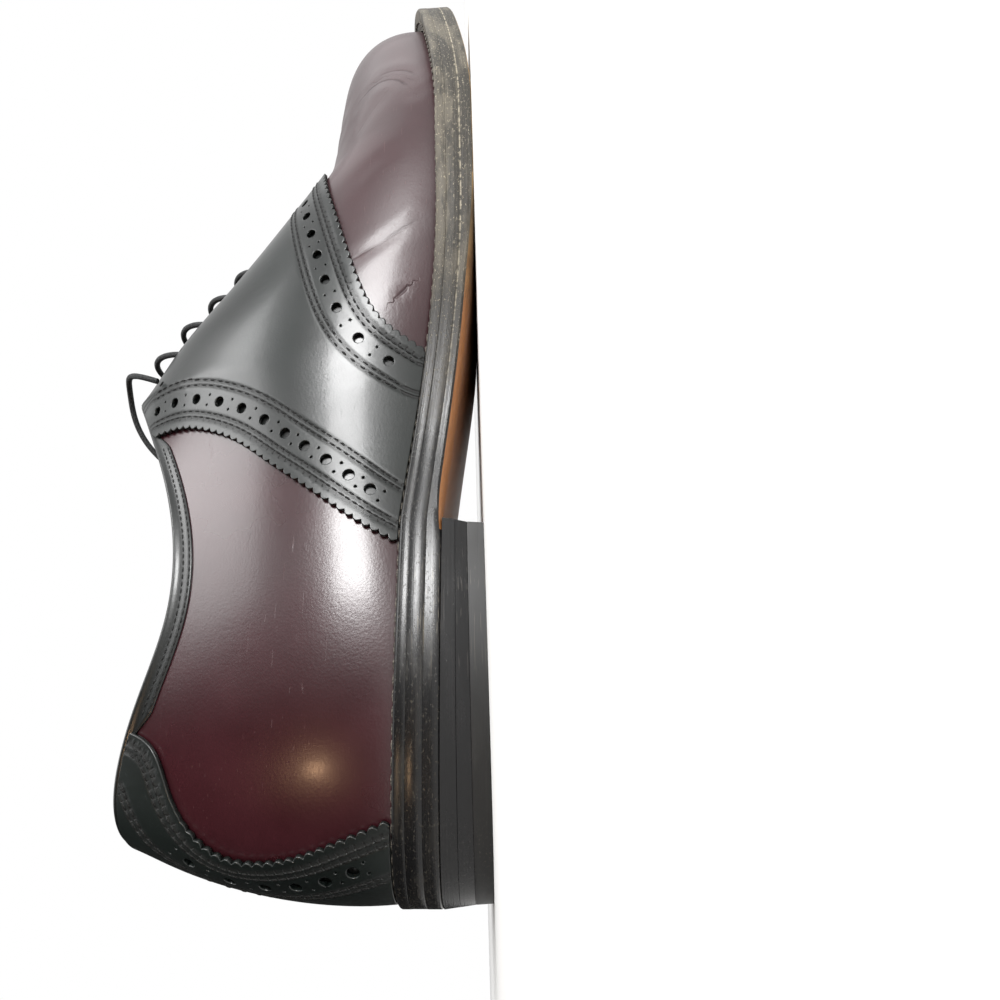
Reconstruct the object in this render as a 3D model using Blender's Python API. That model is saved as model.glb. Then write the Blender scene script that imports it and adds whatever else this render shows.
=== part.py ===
"""Welted saddle shoe for the right foot, made of the pieces a shoemaker joins.

Metres, +X to the toe, +Y to the inner (medial) side, +Z up, standing on the floor.
Two functions carry every form: the sole's edge line and the skin of the last.
"""
import math

import bmesh
import bpy
import numpy as np
from mathutils import Vector

# Sizes of the bottom
SOLE_LENGTH = 0.312
BALL_WIDTH = 0.1035
HEEL_LENGTH = 0.092
HEEL_HEIGHT = 0.0105
SEAT_RISE = 0.0015
TOE_SPRING = 0.0115
TREAD_START = 0.190
TREAD_END = 0.218

# Sizes of the upper
INSTEP_HEIGHT = 0.105
BALL_HEIGHT = 0.0518
HEEL_WELT_REACH = 0.0030
TOE_WELT_REACH = 0.0068

# Thicknesses
OUTSOLE = 0.0036
MIDSOLE = 0.0036
WELT = 0.0029
TOP_LIFT = 0.0040
UPPER_WALL = 0.0018
OVERLAY = 0.0013
TONGUE = 0.0022
INSOLE = 0.0030
LACE = 0.0018
OVERLAY_FOOT = 0.0006
BINDING_HEIGHT = 0.0016
GAP = 0.0003

# Edge work of the sole; the heel's outline leaves out columns nearer to its breast than the last
EDGE_ROUNDING = 0.0006
WAIST_BEVEL = 0.0050
WAIST_BEVEL_HEIGHT = 0.0022
MIDSOLE_STEP = 0.0005
HEEL_TAPER = 0.0012
BREAST_CLEAR = 0.0040

# Places of the trim
LACE_ROWS = 5
LACE_PITCH = 0.0135
TOP_EYELET = 0.0040
EYELET_FROM_EDGE = 0.0095
LACE_RISE = 0.0050
LACE_STRIDE = 0.0040

# Counts of rows: what the tongue covers, columns of a side and rows of the wall
TONGUE_COVER = 3
SIDE_STEPS = 30
HEIGHT_STEPS = 10
EDGE_STEPS = 20

# Shares and curves: where the welt widens and the waist begins and ends along the length,
# how the toe springs, how far the top line follows the sole's bend, and the laces' rise
WELT_WIDENS = (0.35, 0.75)
WAIST_SPAN = (0.27, 0.33, 0.50, 0.62)
SPRING_CURVE = 1.4
TOP_FOLLOWS = 0.6
LACE_LEAN = 0.25
LACE_SHOULDER = 0.35
TONGUE_CROWN = 0.12
TONGUE_PAST_THROAT = 0.2
PATTERN_OVER = 1.2
PATTERN_BEHIND = -0.2

BALL_HALF = BALL_WIDTH / 2

# Sole edge: along (share of length), half width and centre line (shares of half the ball)
SOLE_ROWS = (
    (0.000, 0.000, 0.000),
    (0.016, 0.338, 0.000),
    (0.050, 0.515, -0.004),
    (0.100, 0.613, -0.008),
    (0.160, 0.652, -0.015),
    (0.224, 0.640, -0.026),
    (0.295, 0.598, -0.037),
    (0.370, 0.570, -0.038),
    (0.433, 0.602, -0.037),
    (0.500, 0.697, -0.035),
    (0.565, 0.823, -0.032),
    (0.630, 0.936, -0.025),
    (0.695, 0.992, -0.011),
    (0.753, 0.984, 0.006),
    (0.815, 0.917, 0.027),
    (0.872, 0.828, 0.048),
    (0.923, 0.684, 0.066),
    (0.962, 0.508, 0.077),
    (0.987, 0.308, 0.083),
    (1.000, 0.000, 0.085),
)

# Top line of the upper from the back of the collar to the toe.
# at: share of the sole's edge where the section starts; along: share of length;
# half: share of half the ball; rise: extra height on the inner side;
# lean, low, high, drop: how the section bulges between the sole and the top line.
CORNER = 0.445
THROAT = 0.690
TOP_ROWS = (
    # at, along, half, lean, low, high, drop, rise
    (0.000, 0.0449, 0.000, 0.0096, 0.330, 0.74, 0.25, 0.000),
    (0.020, 0.0487, 0.145, 0.0096, 0.330, 0.74, 0.25, 0.000),
    (0.050, 0.0593, 0.270, 0.0096, 0.330, 0.74, 0.26, 0.002),
    (0.100, 0.0962, 0.402, 0.0103, 0.330, 0.74, 0.28, 0.008),
    (0.160, 0.1571, 0.479, 0.0115, 0.330, 0.76, 0.30, 0.022),
    (0.220, 0.2196, 0.506, 0.0144, 0.340, 0.78, 0.30, 0.033),
    (0.300, 0.3013, 0.473, 0.0224, 0.350, 0.82, 0.28, 0.028),
    (0.370, 0.3718, 0.377, 0.0321, 0.360, 0.86, 0.24, 0.012),
    (0.410, 0.4103, 0.292, 0.0369, 0.360, 0.88, 0.21, 0.004),
    (CORNER, 0.4455, 0.213, 0.0385, 0.355, 0.88, 0.18, 0.000),
    (0.500, 0.5000, 0.170, 0.0337, 0.370, 0.80, 0.12, 0.000),
    (0.555, 0.5545, 0.139, 0.0272, 0.390, 0.70, 0.08, 0.000),
    (0.610, 0.6090, 0.104, 0.0218, 0.450, 0.60, 0.05, 0.000),
    (0.655, 0.6538, 0.062, 0.0179, 0.500, 0.55, 0.02, 0.000),
    (THROAT, 0.6891, 0.000, 0.0160, 0.540, 0.53, 0.00, 0.000),
    (0.740, 0.7370, 0.000, 0.0135, 0.560, 0.54, 0.00, 0.000),
    (0.800, 0.7917, 0.000, 0.0103, 0.580, 0.57, 0.00, 0.000),
    (0.870, 0.8365, 0.000, 0.0090, 0.600, 0.62, 0.00, 0.000),
    (0.940, 0.8702, 0.000, 0.0080, 0.600, 0.68, 0.00, 0.000),
    (1.000, 0.8910, 0.000, 0.0080, 0.600, 0.73, 0.00, 0.000),
)

# Height of the top line: share of the instep height
COLLAR_HEIGHTS = (
    (0.000, 0.843), (0.020, 0.846), (0.050, 0.852), (0.100, 0.848), (0.160, 0.805),
    (0.220, 0.757), (0.300, 0.781), (0.370, 0.871), (0.410, 0.937), (CORNER, 1.000),
)
# Height of the facing and of the vamp's ridge: shares of the instep and of the ball height
FRONT_HEIGHTS = (
    (CORNER, 1.000, 0.0), (0.500, 0.932, 0.0), (0.555, 0.818, 0.0), (0.610, 0.698, 0.0),
    (0.655, 0.320, 0.565), (THROAT, 0.050, 0.980), (0.740, 0.0, 1.003), (0.800, 0.0, 0.978),
    (0.870, 0.0, 0.965), (0.940, 0.0, 0.958), (1.000, 0.0, 0.950),
)

# Route of the lace's outer end from the top eyelet, over the throat and into the mouth:
# along (share of length), across (share of half the ball), height (share of the instep)
LACE_END_ROUTE = (
    (0.4595, -0.386, 0.935), (0.4655, -0.392, 0.990), (0.4750, -0.290, 1.055), (0.4740, -0.130, 1.093),
    (0.4580, -0.020, 1.104), (0.4370, 0.055, 1.083), (0.4150, 0.120, 1.028), (0.3960, 0.190, 0.950),
    (0.3780, 0.250, 0.868), (0.3640, 0.300, 0.780),
)

# Side view of the saddle and of the heel counter: along (share of length) and height
# (share of the instep height), the cut edges only
SADDLE_FRONT = (
    (0.432, 0.060), (0.446, 0.110), (0.468, 0.215), (0.486, 0.272), (0.513, 0.315),
    (0.550, 0.352), (0.595, 0.392), (0.640, 0.428), (0.690, 0.462), (0.720, 0.500),
)
SADDLE_REAR = (
    (0.262, 0.120), (0.292, 0.290), (0.327, 0.435), (0.353, 0.540), (0.377, 0.635),
    (0.393, 0.730), (0.401, 0.810), (0.400, 0.960),
)
COUNTER_FRONT = (
    (0.082, 0.130), (0.071, 0.225), (0.058, 0.330), (0.047, 0.430), (0.043, 0.520),
    (0.047, 0.600), (0.063, 0.665), (0.090, 0.715), (0.122, 0.765), (0.138, 0.900),
)


# Section of the collar's binding: out (share of the wall) and up (share of its height)
BINDING_SECTION = (
    (0.55, 0.0), (0.65, 0.45), (0.25, 1.0), (-0.75, 1.0), (-1.15, 0.45), (-1.05, 0.0),
)


def angle_of(share):
    """The place round half of the sole, from 0 at the heel to pi at the toe."""
    return np.arccos(np.clip(1 - 2 * np.asarray(share, float), -1, 1))


def spline(stations, values):
    """A natural cubic spline through the rows of a table, as a function."""
    at = np.asarray(stations, float)
    height = np.asarray(values, float)
    step = np.diff(at)
    slope = np.diff(height) / step
    count = len(at)
    matrix = np.eye(count)
    right = np.zeros(count)
    for row in range(1, count - 1):
        matrix[row, row - 1:row + 2] = step[row - 1], 2 * (step[row - 1] + step[row]), step[row]
        right[row] = 6 * (slope[row] - slope[row - 1])
    bend = np.linalg.solve(matrix, right)

    def value(place):
        place = np.clip(place, at[0], at[-1])
        span = np.clip(np.searchsorted(at, place) - 1, 0, count - 2)
        run = place - at[span]
        first = slope[span] - step[span] * (2 * bend[span] + bend[span + 1]) / 6
        third = (bend[span + 1] - bend[span]) / (6 * step[span])
        return height[span] + run * (first + run * (bend[span] / 2 + run * third))
    return value


def round_spline(shares, values, sign):
    """A spline that runs on over the heel and the toe as its own mirror image."""
    at = angle_of(shares)
    values = np.asarray(values, float)
    before = (-at[1:4][::-1], sign * values[1:4][::-1])
    after = (2 * math.pi - at[-4:-1][::-1], sign * values[-4:-1][::-1])
    if at[-1] < math.pi - 0.01:
        after = (at[:0], values[:0])
    if at[0] > 0.01:
        before = (at[:0], values[:0])
    return spline(np.concatenate([before[0], at, after[0]]),
                  np.concatenate([before[1], values, after[1]]))


def column(rows, number):
    return [row[number] for row in rows]


half_width = round_spline(column(SOLE_ROWS, 0), column(SOLE_ROWS, 1), -1)
centre_line = round_spline(column(SOLE_ROWS, 0), column(SOLE_ROWS, 2), 1)
open_rows = [row for row in TOP_ROWS if row[0] <= THROAT]
top_along = round_spline(column(TOP_ROWS, 0), column(TOP_ROWS, 1), 1)
top_half = round_spline(column(open_rows, 0), column(open_rows, 2), -1)
section_lean = round_spline(column(TOP_ROWS, 0), column(TOP_ROWS, 3), 1)
section_low = round_spline(column(TOP_ROWS, 0), column(TOP_ROWS, 4), 1)
section_high = round_spline(column(TOP_ROWS, 0), column(TOP_ROWS, 5), 1)
section_drop = round_spline(column(TOP_ROWS, 0), column(TOP_ROWS, 6), 1)
inner_rise = round_spline(column(TOP_ROWS, 0), column(TOP_ROWS, 7), 1)
collar_height = round_spline(column(COLLAR_HEIGHTS, 0), column(COLLAR_HEIGHTS, 1), 1)
front_heights = [INSTEP_HEIGHT * row[1] + BALL_HEIGHT * row[2] for row in FRONT_HEIGHTS]
front_height = round_spline(column(FRONT_HEIGHTS, 0), front_heights, 1)


def sole_bottom(x):
    """Height of the outsole's underside above the floor, a function of the length alone."""
    x = np.asarray(x, float)
    seat = HEEL_HEIGHT + SEAT_RISE * (1 - x / HEEL_LENGTH)
    waist = np.clip((x - HEEL_LENGTH) / (TREAD_START - HEEL_LENGTH), 0, 1)
    toe = np.clip((x - TREAD_END) / (SOLE_LENGTH - TREAD_END), 0, 1)
    arch = HEEL_HEIGHT * (1 - waist) ** 2 * (1 + waist)
    return np.where(x < HEEL_LENGTH, seat, arch + TOE_SPRING * toe ** SPRING_CURVE)


def midsole_top(x):
    return sole_bottom(x) + OUTSOLE + GAP + MIDSOLE


def sole_edge(turn):
    """Points of the sole's edge; turn runs from the heel over the outer side to the toe and back."""
    turn = np.asarray(turn, float)
    angle = math.pi - np.abs(math.pi - turn)
    side = np.where(turn <= math.pi, -1.0, 1.0)
    x = SOLE_LENGTH * (1 - np.cos(angle)) / 2
    y = BALL_HALF * (centre_line(angle) + side * half_width(angle))
    return np.stack([x, y], -1)


def frame_origin():
    """The middle of the sole's box, on the floor, where the whole shoe is moved to."""
    edge = sole_edge(np.linspace(0, 2 * math.pi, 721))
    middle = (edge.min(axis=0) + edge.max(axis=0)) / 2
    return Vector((*middle, 0.0))


def outward(turn):
    """Unit vector in plan that points out of the sole's edge."""
    small = 1e-3
    tangent = sole_edge(np.mod(turn + small, 2 * math.pi)) - sole_edge(np.mod(turn - small, 2 * math.pi))
    tangent /= np.linalg.norm(tangent, axis=-1, keepdims=True)
    return np.stack([tangent[..., 1], -tangent[..., 0]], -1)


def ease(value):
    value = np.clip(value, 0, 1)
    return value * value * (3 - 2 * value)


def welt_reach(turn):
    """How far the sole sticks out past the foot of the upper."""
    x = sole_edge(turn)[..., 0] / SOLE_LENGTH
    start, end = WELT_WIDENS
    return HEEL_WELT_REACH + (TOE_WELT_REACH - HEEL_WELT_REACH) * ease((x - start) / (end - start))


def inset_edge(turn, inset):
    return sole_edge(turn) - outward(turn) * np.asarray(inset)[..., None]


def skin(turn, up):
    """A point of the last's skin; up runs from 0 at the sole to 1 at the top line."""
    turn, up = np.broadcast_arrays(np.asarray(turn, float), np.asarray(up, float))
    angle = math.pi - np.abs(math.pi - turn)
    side = np.where(turn <= math.pi, -1.0, 1.0)
    foot = inset_edge(turn, welt_reach(turn))
    base = midsole_top(foot[..., 0]) + GAP
    x = SOLE_LENGTH * top_along(angle)
    closed = angle >= angle_of(THROAT) - 1e-6
    half = np.where(closed, 0.0, top_half(np.minimum(angle, angle_of(THROAT))))
    y = BALL_HALF * (centre_line(angle) * TOP_FOLLOWS + side * half)
    collar = INSTEP_HEIGHT * collar_height(np.minimum(angle, angle_of(CORNER)))
    front = front_height(np.maximum(angle, angle_of(CORNER)))
    z = np.where(angle <= angle_of(CORNER), collar, front)
    z = z + np.where(side > 0, INSTEP_HEIGHT * inner_rise(angle), 0.0)
    start = np.stack([foot[..., 0], foot[..., 1], base], -1)
    end = np.stack([x, y, z], -1)
    rise = (z - base)[..., None]
    across = (end - start) * (1, 1, 0)
    lean = outward(turn) * (SOLE_LENGTH * section_lean(angle))[..., None]
    lower = start + np.concatenate([lean, rise * section_low(angle)[..., None]], -1)
    drop = rise * section_drop(angle)[..., None]
    upper = end - across * section_high(angle)[..., None] - drop * (0, 0, 1)
    t = up[..., None]
    return (start * (1 - t) ** 3 + 3 * lower * t * (1 - t) ** 2
            + 3 * upper * t * t * (1 - t) + end * t ** 3)


def skin_normal(turn, up):
    """Unit vector out of the skin; on the ridge both sides share one."""
    small = 2e-3
    turn, up = np.broadcast_arrays(np.asarray(turn, float), np.asarray(up, float))
    low = np.clip(up - small, 0, 1)
    high = np.clip(up + small, 0, 1)
    around = skin(np.mod(turn + small, 2 * math.pi), up) - skin(np.mod(turn - small, 2 * math.pi), up)
    normal = np.cross(around, skin(turn, high) - skin(turn, low))
    normal /= np.linalg.norm(normal, axis=-1, keepdims=True)
    angle = math.pi - np.abs(math.pi - turn)
    ridge = (up > 1 - 1e-6) & (angle >= angle_of(THROAT) - 1e-6)
    flat = normal * (1, 0, 1)
    flat /= np.linalg.norm(flat, axis=-1, keepdims=True)
    return np.where(ridge[..., None], flat, normal)


def offset_skin(turn, up, out):
    return skin(turn, up) + skin_normal(turn, up) * out


def turns():
    """Places of the columns round the shoe, with the facing's corner and the throat among them."""
    half = np.linspace(0, math.pi, SIDE_STEPS + 1)
    for place in (angle_of(CORNER), angle_of(THROAT)):
        half[np.argmin(np.abs(half - place))] = place
    return np.concatenate([half, (2 * math.pi - half[1:-1])[::-1]])


def welt_line(turn, clearance=GAP):
    """The share of the section's height where the skin is clear of the top of the welt."""
    wanted = skin(turn, 0.0)[..., 2] + WELT + clearance
    low = np.zeros_like(turn)
    high = np.full_like(turn, 0.5)
    for _ in range(24):
        middle = (low + high) / 2
        above = skin(turn, middle)[..., 2] > wanted
        high = np.where(above, middle, high)
        low = np.where(above, low, middle)
    return high


def material(name, colour, roughness):
    finish = bpy.data.materials.new(name)
    finish.use_nodes = True
    shader = finish.node_tree.nodes["Principled BSDF"]
    shader.inputs["Base Color"].default_value = (*colour, 1)
    shader.inputs["Roughness"].default_value = roughness
    return finish


def add_object(name, mesh_or_curve, finish):
    piece = bpy.data.objects.new(name, mesh_or_curve)
    piece.location = -FRAME_ORIGIN
    mesh_or_curve.materials.append(finish)
    bpy.context.scene.collection.objects.link(piece)
    return piece


def finish_mesh(name, bm, finish, smooth=True):
    bmesh.ops.recalc_face_normals(bm, faces=bm.faces)
    mesh = bpy.data.meshes.new(name)
    bm.to_mesh(mesh)
    bm.free()
    if smooth:
        mesh.shade_smooth()
        mesh.set_sharp_from_angle(angle=math.radians(40))
    return add_object(name, mesh, finish)


def grid(bm, points, closed=False):
    """Skin a table of points, rows of columns, with every four corners cut the same way."""
    verts = [[bm.verts.new(point) for point in row] for row in points]
    count = len(verts[0])
    for lower, upper in zip(verts[:-1], verts[1:]):
        for i in range(count if closed else count - 1):
            j = (i + 1) % count
            bm.faces.new((lower[i], lower[j], upper[j]))
            bm.faces.new((lower[i], upper[j], upper[i]))
    return verts


def cap(bm, loop):
    """Close a sole-shaped loop with strips that run straight across the shoe."""
    count = len(loop)
    for i in range(count // 2):
        corners = [loop[i], loop[i + 1], loop[(count - i - 1) % count], loop[-i % count]]
        faces = list(dict.fromkeys(corners))
        bm.faces.new(faces)


def sole_layer(name, rings, finish):
    """A layer of the bottom from rings of (inset, height) pairs, lowest first."""
    around = turns()
    bm = bmesh.new()
    points = []
    for inset, lift in rings:
        plan = inset_edge(around, np.broadcast_to(inset, around.shape))
        height = sole_bottom(plan[:, 0]) + lift
        points.append(np.column_stack([plan, height]))
    verts = grid(bm, points, closed=True)
    cap(bm, verts[0])
    cap(bm, verts[-1])
    return finish_mesh(name, bm, finish)


def waist_share(x):
    """1 in the waist and 0 under the ball and the heel."""
    x = x / SOLE_LENGTH
    start, full, fade, end = WAIST_SPAN
    return ease((x - start) / (full - start)) * (1 - ease((x - fade) / (end - fade)))


def make_outsole():
    around = turns()
    waist = waist_share(sole_edge(around)[:, 0])
    bevel = EDGE_ROUNDING + (WAIST_BEVEL - EDGE_ROUNDING) * waist
    rise = EDGE_ROUNDING + (WAIST_BEVEL_HEIGHT - EDGE_ROUNDING) * waist
    rings = (
        (bevel, 0.0),
        (bevel * 0.30, rise * 0.38),
        (0.0, rise),
        (0.0, OUTSOLE),
    )
    return sole_layer("outsole", rings, LEATHER_SOLE)


def make_midsole():
    base = OUTSOLE + GAP
    rings = (
        (MIDSOLE_STEP + EDGE_ROUNDING / 2, base),
        (MIDSOLE_STEP, base + EDGE_ROUNDING),
        (MIDSOLE_STEP, base + MIDSOLE - EDGE_ROUNDING),
        (MIDSOLE_STEP + EDGE_ROUNDING / 2, base + MIDSOLE),
    )
    return sole_layer("midsole", rings, EDGE_BLACK)


def make_welt():
    around = turns()
    base = OUTSOLE + GAP + MIDSOLE + GAP
    inner = offset_skin(around, welt_line(around), GAP)[:, :2]
    outer = sole_edge(around)
    low = inset_edge(around, np.full_like(around, EDGE_ROUNDING / 2))
    edge = inset_edge(around, np.full_like(around, EDGE_ROUNDING))
    rings = ((inner, base), (low, base), (outer, base + EDGE_ROUNDING),
             (outer, base + WELT - EDGE_ROUNDING), (edge, base + WELT), (inner, base + WELT))
    bm = bmesh.new()
    points = [np.column_stack([plan, sole_bottom(plan[:, 0]) + lift]) for plan, lift in rings]
    verts = grid(bm, points, closed=True)
    count = len(around)
    for i in range(count):
        j = (i + 1) % count
        bm.faces.new((verts[-1][i], verts[-1][j], verts[0][j], verts[0][i]))
    return finish_mesh("welt", bm, EDGE_BLACK)


def heel_layer(name, bottom, top, taper, finish):
    """One lift of the heel: the sole's edge back of the breast, between two heights."""
    around = turns()
    behind = around[sole_edge(around)[:, 0] < HEEL_LENGTH - BREAST_CLEAR]
    order = np.concatenate([behind[behind > math.pi], behind[behind <= math.pi]])
    bm = bmesh.new()
    rows = []
    for height, inset in ((bottom, taper[0]), (top, taper[1])):
        plan = inset_edge(order, np.full_like(order, inset))
        breast = []
        for side in (plan[-1], plan[0]):
            breast.append((HEEL_LENGTH - inset, side[1]))
        plan = np.concatenate([plan, breast])
        rows.append([(x, y, height(x)) for x, y in plan])
    verts = grid(bm, rows, closed=True)
    bm.faces.new(verts[0])
    bm.faces.new(verts[1])
    return finish_mesh(name, bm, finish)


def make_heel():
    """Rubber top lift on the floor and two leather lifts that wedge up to the seat."""
    def level(share):
        low = TOP_LIFT + GAP
        return lambda x: low + (sole_bottom(min(x, HEEL_LENGTH - 1e-6)) - GAP - low) * share
    heel_layer("top_lift", lambda x: 0.0, lambda x: TOP_LIFT,
               (HEEL_TAPER, HEEL_TAPER * 0.8), RUBBER)
    middle = 0.5
    heel_layer("heel_lift_lower", level(0.0), lambda x: level(middle)(x) - GAP,
               (HEEL_TAPER * 0.8, HEEL_TAPER * 0.4), EDGE_BLACK)
    heel_layer("heel_lift_upper", level(middle), level(1.0),
               (HEEL_TAPER * 0.4, 0.0), EDGE_BLACK)


def upper_rows(around, from_sole=True):
    """Shares of height of the upper's rows: the top of the welt and on to the top line."""
    start = welt_line(around)
    rows = [start + (1 - start) * step for step in np.linspace(0, 1, HEIGHT_STEPS + 1)]
    if from_sole:
        return [np.zeros_like(around), *rows]
    return [welt_line(around, GAP + OVERLAY_FOOT), *rows[1:]]


def shell(name, out, wall, finish, from_sole=True):
    """The upper's own form moved out by a distance, as a hollow wall closed along the ridge."""
    around = turns()
    points = [offset_skin(around, up, out) for up in upper_rows(around, from_sole)]
    bm = bmesh.new()
    grid(bm, points, closed=True)
    bmesh.ops.remove_doubles(bm, verts=bm.verts, dist=1e-5)
    piece = finish_mesh(name, bm, finish)
    solidify = piece.modifiers.new("Wall", "SOLIDIFY")
    solidify.thickness = abs(wall)
    solidify.offset = math.copysign(1, wall)
    solidify.use_even_offset = False
    return piece


def side_cutter(name, outline):
    """A prism through the whole shoe whose side view is the outline."""
    reach = BALL_WIDTH
    bm = bmesh.new()
    rows = [[(x, y, z) for x, z in outline] for y in (-reach, reach)]
    verts = grid(bm, rows, closed=True)
    bm.faces.new(verts[0])
    bm.faces.new(verts[1])
    cutter = finish_mesh(name, bm, EDGE_BLACK, smooth=False)
    cutter.hide_render = True
    cutter.display_type = "WIRE"
    return cutter


def edge_curve(rows, steps):
    """Points of a smooth cut edge in the side view, from a short table of shares."""
    rows = np.array(rows) * (SOLE_LENGTH, INSTEP_HEIGHT)
    length = np.concatenate([[0], np.cumsum(np.linalg.norm(np.diff(rows, axis=0), axis=1))])
    at = np.linspace(0, length[-1], steps)
    return list(zip(spline(length, rows[:, 0])(at), spline(length, rows[:, 1])(at)))


def cut_overlay(name, outline, finish):
    piece = shell(name, GAP, OVERLAY, finish, from_sole=False)
    cut = piece.modifiers.new("Pattern", "BOOLEAN")
    cut.operation = "INTERSECT"
    cut.solver = "EXACT"
    cut.object = side_cutter(name + "_pattern", outline)
    return piece


def make_saddle():
    front = edge_curve(SADDLE_FRONT, EDGE_STEPS)
    rear = edge_curve(SADDLE_REAR, EDGE_STEPS)
    over = INSTEP_HEIGHT * PATTERN_OVER
    floor = (rear[0][0], 0.0), (front[0][0], 0.0)
    outline = [*front, (front[-1][0], over), (rear[-1][0], over), *rear[::-1], *floor]
    return cut_overlay("saddle", outline, BLACK_LEATHER)


def make_counter():
    front = edge_curve(COUNTER_FRONT, EDGE_STEPS)
    behind = SOLE_LENGTH * PATTERN_BEHIND
    over = INSTEP_HEIGHT * PATTERN_OVER
    outline = [(behind, 0.0), (front[0][0], 0.0), *front, (front[-1][0], over), (behind, over)]
    return cut_overlay("heel_counter", outline, BLACK_LEATHER)


def make_binding():
    """The bead that finishes the collar, from one facing corner round the back to the other."""
    around = turns()
    half = around[around <= angle_of(CORNER) + 1e-6]
    order = np.concatenate([-half[::-1][:-1], half])
    turn = np.mod(order, 2 * math.pi)
    edge = skin(turn, 1.0)
    out = skin_normal(turn, 1.0)
    small = 0.03
    up = edge - skin(turn, 1.0 - small)
    up /= np.linalg.norm(up, axis=-1, keepdims=True)
    rows = [edge + out * UPPER_WALL * side + up * (GAP + BINDING_HEIGHT * rise)
            for side, rise in BINDING_SECTION]
    bm = bmesh.new()
    verts = grid(bm, np.swapaxes(np.array(rows), 0, 1), closed=True)
    bm.faces.new(verts[0])
    bm.faces.new(verts[-1])
    return finish_mesh("collar_binding", bm, BLACK_LEATHER)


def make_insole():
    around = turns()
    base = OUTSOLE + GAP + MIDSOLE + GAP
    inset = welt_reach(around) + UPPER_WALL + GAP
    return sole_layer("insole", ((inset, base), (inset, base + INSOLE)), TAN_LEATHER)


def make_tongue():
    """A leaf under the facings, from ahead of the throat to just past the top eyelets."""
    around = turns()
    places = around[(around >= angle_of(CORNER) - 1e-6) & (around <= angle_of(THROAT) + TONGUE_PAST_THROAT)]
    depth = UPPER_WALL + GAP
    rows = []
    for turn in places:
        side = np.array([turn])
        ups = np.array([row[0] for row in upper_rows(side)])[-TONGUE_COVER:]
        outer = [offset_skin(turn, up, -depth) for up in ups]
        inner = [offset_skin(2 * math.pi - turn, up, -depth) for up in ups[::-1]]
        rise = abs(outer[-1][1] - inner[0][1]) * TONGUE_CROWN
        crown = (outer[-1] + inner[0]) / 2 + np.array([0, 0, rise])
        rows.append([*outer, crown, *inner])
    bm = bmesh.new()
    grid(bm, rows)
    bmesh.ops.remove_doubles(bm, verts=bm.verts, dist=1e-5)
    piece = finish_mesh("tongue", bm, BLACK_LEATHER)
    solidify = piece.modifiers.new("Thickness", "SOLIDIFY")
    solidify.thickness = TONGUE
    solidify.offset = -1
    solidify.use_even_offset = False
    return piece


def cord_curve(name, route, finish):
    """A round cord through the route's points, as a tube with closed ends."""
    route = np.array(route)
    length = np.concatenate([[0], np.cumsum(np.linalg.norm(np.diff(route, axis=0), axis=1))])
    at = np.linspace(0, length[-1], max(6, int(length[-1] / LACE_STRIDE)))
    smooth = np.column_stack([spline(length, route[:, i])(at) for i in range(3)])
    curve = bpy.data.curves.new(name, "CURVE")
    curve.dimensions = "3D"
    curve.bevel_depth = LACE / 2
    curve.bevel_resolution = 2
    curve.use_fill_caps = True
    line = curve.splines.new("POLY")
    line.points.add(len(smooth) - 1)
    for point, place in zip(line.points, smooth):
        point.co = (*place, 1)
    return add_object(name, curve, finish)


def facing_turn(distance):
    """The column that passes the facing's edge a distance down from its top corner."""
    turn = np.linspace(angle_of(CORNER), angle_of(THROAT), 200)
    edge = skin(turn, 1.0)
    length = np.concatenate([[0], np.cumsum(np.linalg.norm(np.diff(edge, axis=0), axis=1))])
    return float(np.interp(distance, length, turn))


def eyelet(turn):
    """Share of height of an eyelet, a set distance in from the facing's edge."""
    up = np.linspace(1.0, 0.5, 60)
    line = skin(np.full_like(up, turn), up)
    length = np.concatenate([[0], np.cumsum(np.linalg.norm(np.diff(line, axis=0), axis=1))])
    return float(np.interp(EYELET_FROM_EDGE, length, up))


def make_lace_end():
    """The outer end comes up from the top eyelet, turns over the facing and lies in the mouth."""
    scale = (SOLE_LENGTH, BALL_HALF, INSTEP_HEIGHT)
    cord_curve("lace_end", np.array(LACE_END_ROUTE) * scale, LACE_BLACK)


def make_lace_bars():
    """Bars of lace over the throat, from eyelet to eyelet, below the top pair of eyelets."""
    seat = GAP + OVERLAY + GAP + LACE / 2
    for number in range(1, LACE_ROWS):
        turn = facing_turn(TOP_EYELET + LACE_PITCH * number)
        up = eyelet(turn)
        outer = offset_skin(turn, up, seat)
        inner = offset_skin(2 * math.pi - turn, up, seat)
        rise = np.array([LACE_LEAN, 0, 1]) * LACE_RISE
        shoulders = [offset_skin(place, 1.0, seat + LACE_RISE * LACE_SHOULDER)
                     for place in (turn, 2 * math.pi - turn)]
        crown = (shoulders[0] + shoulders[1]) / 2 + rise
        route = [outer, shoulders[0], crown, shoulders[1], inner]
        cord_curve("lace_bar_%d" % number, route, LACE_BLACK)


for old in list(bpy.data.objects):
    bpy.data.objects.remove(old)

FRAME_ORIGIN = frame_origin()
OXBLOOD = material("Oxblood_calf", (0.070, 0.018, 0.022), 0.30)
BLACK_LEATHER = material("Black_calf", (0.018, 0.020, 0.019), 0.34)
TAN_LEATHER = material("Tan_lining", (0.43, 0.27, 0.14), 0.55)
LEATHER_SOLE = material("Sole_leather", (0.36, 0.21, 0.09), 0.60)
EDGE_BLACK = material("Edge_dressing", (0.016, 0.015, 0.015), 0.42)
RUBBER = material("Rubber_top_lift", (0.020, 0.019, 0.018), 0.65)
LACE_BLACK = material("Waxed_lace", (0.014, 0.014, 0.015), 0.60)

make_outsole()
make_midsole()
make_welt()
make_heel()
make_insole()
shell("upper", 0.0, -UPPER_WALL, OXBLOOD)
make_saddle()
make_counter()
make_binding()
make_tongue()
make_lace_bars()
make_lace_end()
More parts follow.
